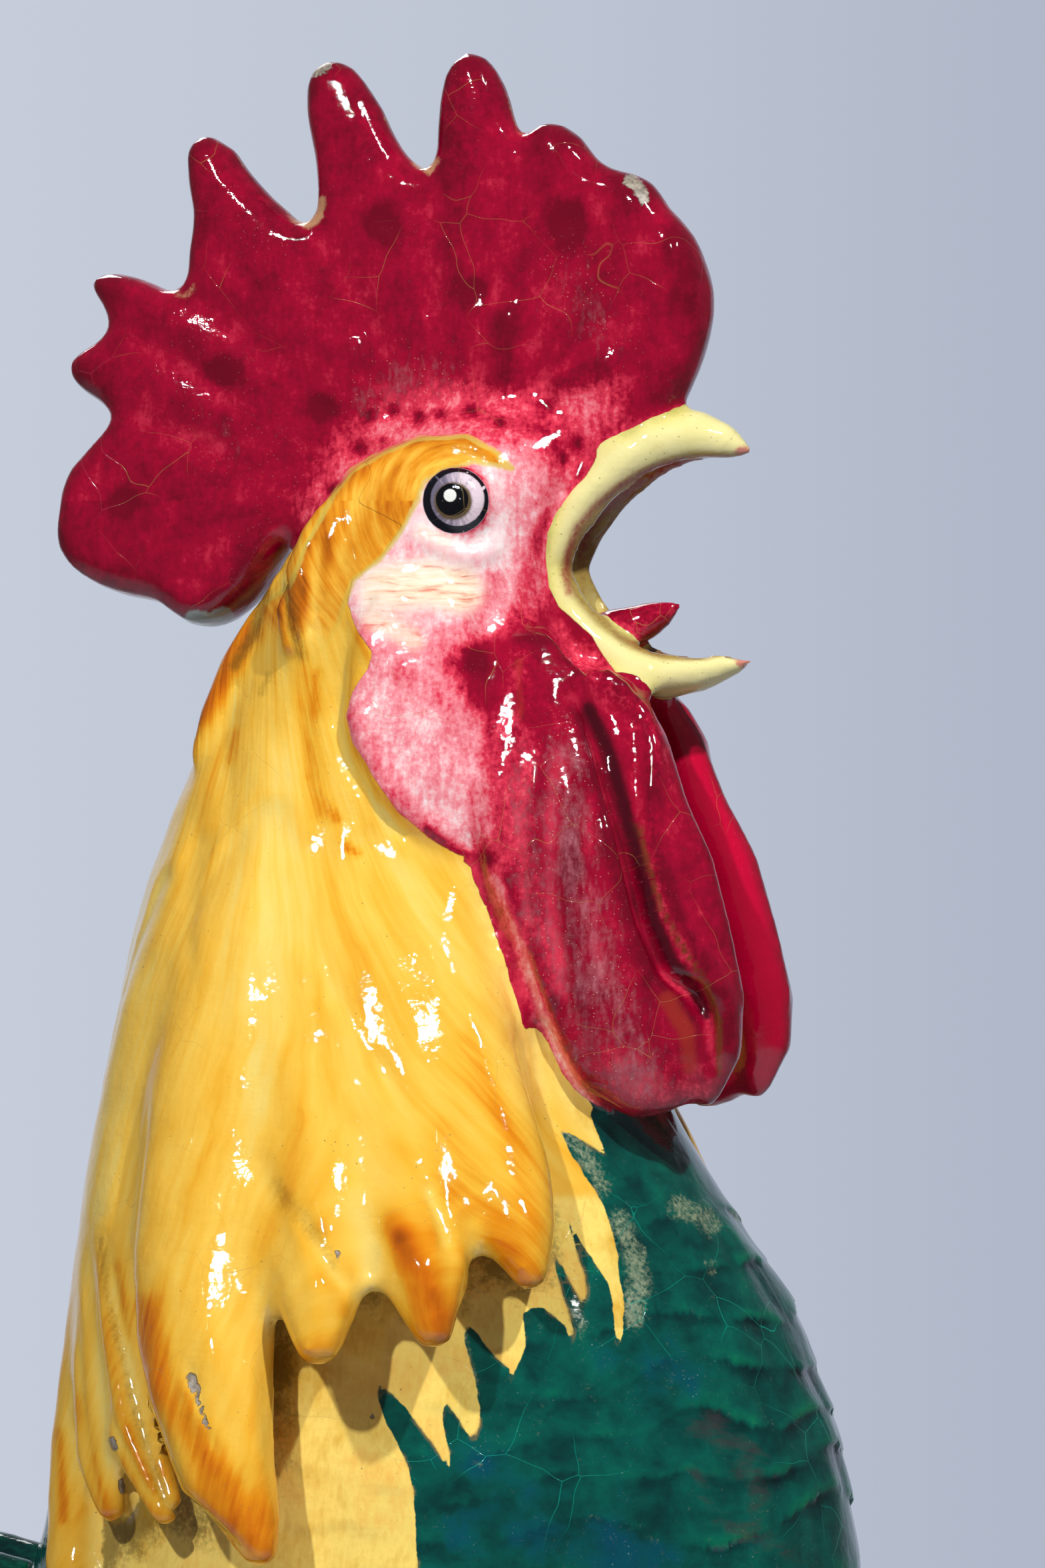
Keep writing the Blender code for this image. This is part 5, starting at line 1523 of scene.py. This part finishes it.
SHANK_TOP = 0.150
THIGH_TOP = 0.245
SHANK_FADE = 0.02
SCUTE_PITCH = 0.0062
THIGH_FEATHER_WIDTH = 0.010
THIGH_FEATHER_LENGTH = 0.014
ANKLE = np.array([0.0415, 0.0373])
LEG_RADIUS = 0.02
TOE_END = 0.046


def seams(row):
    """1 on the seams between the plates of a row, and 0 away from them."""
    return 1 - smoothstep(0.0, 0.3, np.abs(row - np.round(row)))


def leg_form(points, normals, distances):
    """Plates down the shank and along the toes, feathers on the thigh, and claws."""
    x, y, z = points.T
    reach = np.linalg.norm(np.stack([x, np.abs(y)], axis=1) - ANKLE, axis=1)
    leg, foot, spur = (
        np.minimum(distances[part + "_r"], distances[part + "_l"]) for part in ("leg", "foot", "spur")
    )
    on_foot = smoothstep(-2, 2, (np.minimum(leg, spur) - foot) / MM)
    on_spur = smoothstep(-1, 1, (np.minimum(leg, foot) - spur) / MM)
    on_leg = (1 - on_foot) * (1 - on_spur)
    on_thigh = on_leg * smoothstep(SHANK_TOP, SHANK_TOP + SHANK_FADE, z)
    on_shank = on_leg * smoothstep(SHANK_TOP + 0.012, SHANK_TOP - 0.004, z)
    ahead = smoothstep(-0.1, 0.5, normals[:, 0]) * on_shank
    above = smoothstep(0.0, 0.5, normals[:, 2]) * on_foot
    drift = 0.2 * lumps(points, 0.012, 13)
    seam = seams(z / SCUTE_PITCH + 0.25 * normals[:, 1] * np.sign(y) + drift) * ahead
    toe_seam = seams(reach / SCUTE_PITCH + drift) * above
    turn = np.arctan2(y, x - ANKLE[0]) * LEG_RADIUS
    tufts = scallops(turn, z, THIGH_FEATHER_WIDTH, THIGH_FEATHER_LENGTH)
    height = on_thigh * (tufts - 0.3) - 0.45 * seam - 0.4 * toe_seam + 0.18 * lumps(points, 0.007, 14)
    flow = np.stack([turn, z, reach], axis=1) / MM
    return height, {
        "flow": flow,
        "shade": 0.62 - 0.4 * seam - 0.4 * toe_seam - 0.15 * on_spur,
        "claw": smoothstep(TOE_END - 0.006, TOE_END + 0.003, reach) * on_foot,
        "thigh": (smoothstep(SHANK_TOP + SHANK_FADE, THIGH_TOP, z) + 0.25 * tufts) * on_thigh,
    }


MOUND_MIDDLE = np.array([0.0485, 0.0])
GRASS_START = 0.11
TUFT_MIDDLE = np.array([0.0140, 0.0])
TUFT_TWIST = 7.5
BLADES = 46
TUFT_BLADES = 13
GRASS_FLOW = 60
TUFT_FLOW = 20


def blades(out, count, sway):
    """Grass blades side by side round a middle: 1 on a blade's rib, 0 between two blades."""
    lane = np.arctan2(out[:, 1], out[:, 0]) / (2 * math.pi) * count + sway
    return smoothstep(1.0, 0.45, np.abs(lane - np.round(lane)) * 2)


def ground_form(points, normals, distances):
    """Grass brushed down the mound, and leaves up the tuft."""
    z = points[:, 2]
    on_tuft = smoothstep(-3, 3, (distances["base"] - distances["support_tuft"]) / MM)
    out = points[:, :2] - MOUND_MIDDLE
    reach = np.linalg.norm(out, axis=1)
    outward = (out * normals[:, :2]).sum(axis=1) / reach
    outside = np.clip(smoothstep(-0.05, 0.2, normals[:, 2]) + smoothstep(0.0, 0.4, outward), 0, 1)
    outside *= smoothstep(0.0015, 0.007, z)
    swell = lumps(points, 0.016, 15)
    grass = blades(out, BLADES, 1.3 * swell + 0.6 * lumps(points, 0.007, 16))
    grass *= smoothstep(0.3, 0.75, reach / GRASS_START)
    from_tuft = points[:, :2] - TUFT_MIDDLE
    twist = TUFT_TWIST * z * np.sign(from_tuft[:, 1])
    leaves = blades(from_tuft, TUFT_BLADES, twist + 0.8 * lumps(points, 0.03, 18))
    height = (1 - on_tuft) * outside * (swell + 0.75 * grass - 0.8)
    height += on_tuft * (1.3 * leaves - 0.9 + 0.4 * swell)
    underside = smoothstep(-0.2, -0.6, normals[:, 2]) + smoothstep(0.0, -0.3, outward)
    bare = np.clip(underside * smoothstep(0.055, 0.05, z), 0, 1) * (1 - on_tuft)
    bare = np.maximum(bare, smoothstep(0.0055, 0.0025, z))
    shade = 0.4 + 0.22 * (grass * (1 - on_tuft) + leaves * on_tuft) + 0.12 * swell
    turn = np.arctan2(out[:, 1], out[:, 0])
    flow = np.stack([turn * GRASS_FLOW, (reach + z) / MM, on_tuft * TUFT_FLOW], axis=1)
    return height, {"flow": flow, "shade": shade, "bare_clay": bare}


def dress(name, nodes, grain, rounds, form, glaze):
    """Melts nodes together, presses their relief in, paints them and cuts them apart."""
    mesh = melted(name, nodes, grain)
    points = soften(mesh, rounds, np.ones(len(mesh.vertices)))
    distances = node_distances(points, nodes)
    edges = edges_of(mesh)
    normals = spread(normals_of(mesh), edges, NORMAL_ROUNDS)
    height, fields = form(points, normals, distances)
    move_points(mesh, points + normals * height[:, None] * MM)
    points = soften(mesh, 1, np.ones(len(points)))
    points[:, 2] = np.maximum(points[:, 2], 0)
    move_points(mesh, points)
    fields["bend"] = bend_of(mesh, points, edges)
    cut_apart(name, mesh, nodes, distances, fields, glaze)


dress("tail", TAIL_NODES, TAIL_GRAIN, TAIL_ROUNDS, tail_form, tail_glaze())
dress("legs", LEG_NODES, LEG_GRAIN, LEG_ROUNDS, leg_form, leg_glaze())
dress("ground", GROUND_NODES, GROUND_GRAIN, GROUND_ROUNDS, ground_form, ground_glaze())

# Camera

camera_data = bpy.data.cameras.new("camera")
camera_data.sensor_width = SENSOR
camera_data.lens = SENSOR * CAMERA_DISTANCE / (PHOTO_HEIGHT * PIXEL)
camera = linked("camera", camera_data)
camera.location = CAMERA_PLACE
camera.rotation_euler = (math.radians(90), 0, CAMERA_TURN)
bpy.context.scene.camera = camera


# Studio


def softbox(name, turn, rise, distance, size, power):
    """A lamp aimed at the picture's middle: degrees right of the camera, degrees up, and metres away."""
    light = bpy.data.lights.new(name, "AREA")
    light.shape = "RECTANGLE"
    light.size, light.size_y = size
    light.energy = power
    turn, rise = math.radians(turn), math.radians(rise)
    out = math.sin(turn) * RIGHT - math.cos(turn) * AHEAD
    way = math.cos(rise) * out + np.array([0, 0, math.sin(rise)])
    lamp = linked(name, light)
    lamp.location = PHOTO_MIDDLE + distance * way
    lamp.rotation_euler = (Vector(PHOTO_MIDDLE) - lamp.location).to_track_quat("-Z", "Y").to_euler()


softbox("left", -27, 34, 1.4, (0.035, 0.05), 11.5)
softbox("right", 30, 46, 1.4, (0.03, 0.05), 14.5)
softbox("back", 200, 40, 1.6, (0.6, 0.6), 6)

world = bpy.data.worlds.new("studio")
bpy.context.scene.world = world
sky = Painter(world)
toward = sky.signal(sky.node("ShaderNodeTexCoord"), "Generated")
across = sky.vector_math("DOT_PRODUCT", toward, tuple(RIGHT), output="Value")
behind = sky.vector_math("DOT_PRODUCT", toward, tuple(AHEAD), output="Value").above(0.65, 0.96)
wall = sky.ramp(across * 4 + 0.5, (0.1, (200, 206, 219)), (0.55, (188, 195, 210)), (0.95, (170, 178, 196)))
feed(sky.shader.inputs["Color"], sky.coats((82, 84, 88), (wall, behind)))
sky.shader.inputs["Strength"].default_value = 1.0

FLOOR_FADE = 0.45
FLOOR_END = 1.5
PAPER_GRAIN = 0.0015
floor_shape = bmesh.new()
bmesh.ops.create_circle(floor_shape, cap_ends=True, radius=FLOOR_END, segments=96)
floor_mesh = bpy.data.meshes.new("floor")
floor_shape.to_mesh(floor_mesh)
floor_shape.free()
paper = Painter(bpy.data.materials.new("paper"))
paper_place = paper.signal(paper.node("ShaderNodeTexCoord"), "Object")
cloudy = paper.noise(paper_place, PAPER_GRAIN, 4.0, 0.6) * 0.3 + paper.noise(paper_place, 0.4, 2.0) * 0.4
tone = paper.ramp(cloudy + 0.5, (0.2, (194, 200, 212)), (0.8, (206, 210, 220)))
feed(paper.shader.inputs["Base Color"], tone)
feed(paper.shader.inputs["Alpha"], paper.far_from(paper_place, (0, 0, 0)).below(FLOOR_FADE, FLOOR_END))
paper.shader.inputs["Roughness"].default_value = 0.75
floor_mesh.materials.append(paper.painted)
linked("floor", floor_mesh)

bpy.context.scene.view_settings.view_transform = "Standard"

bpy.context.view_layer.update()
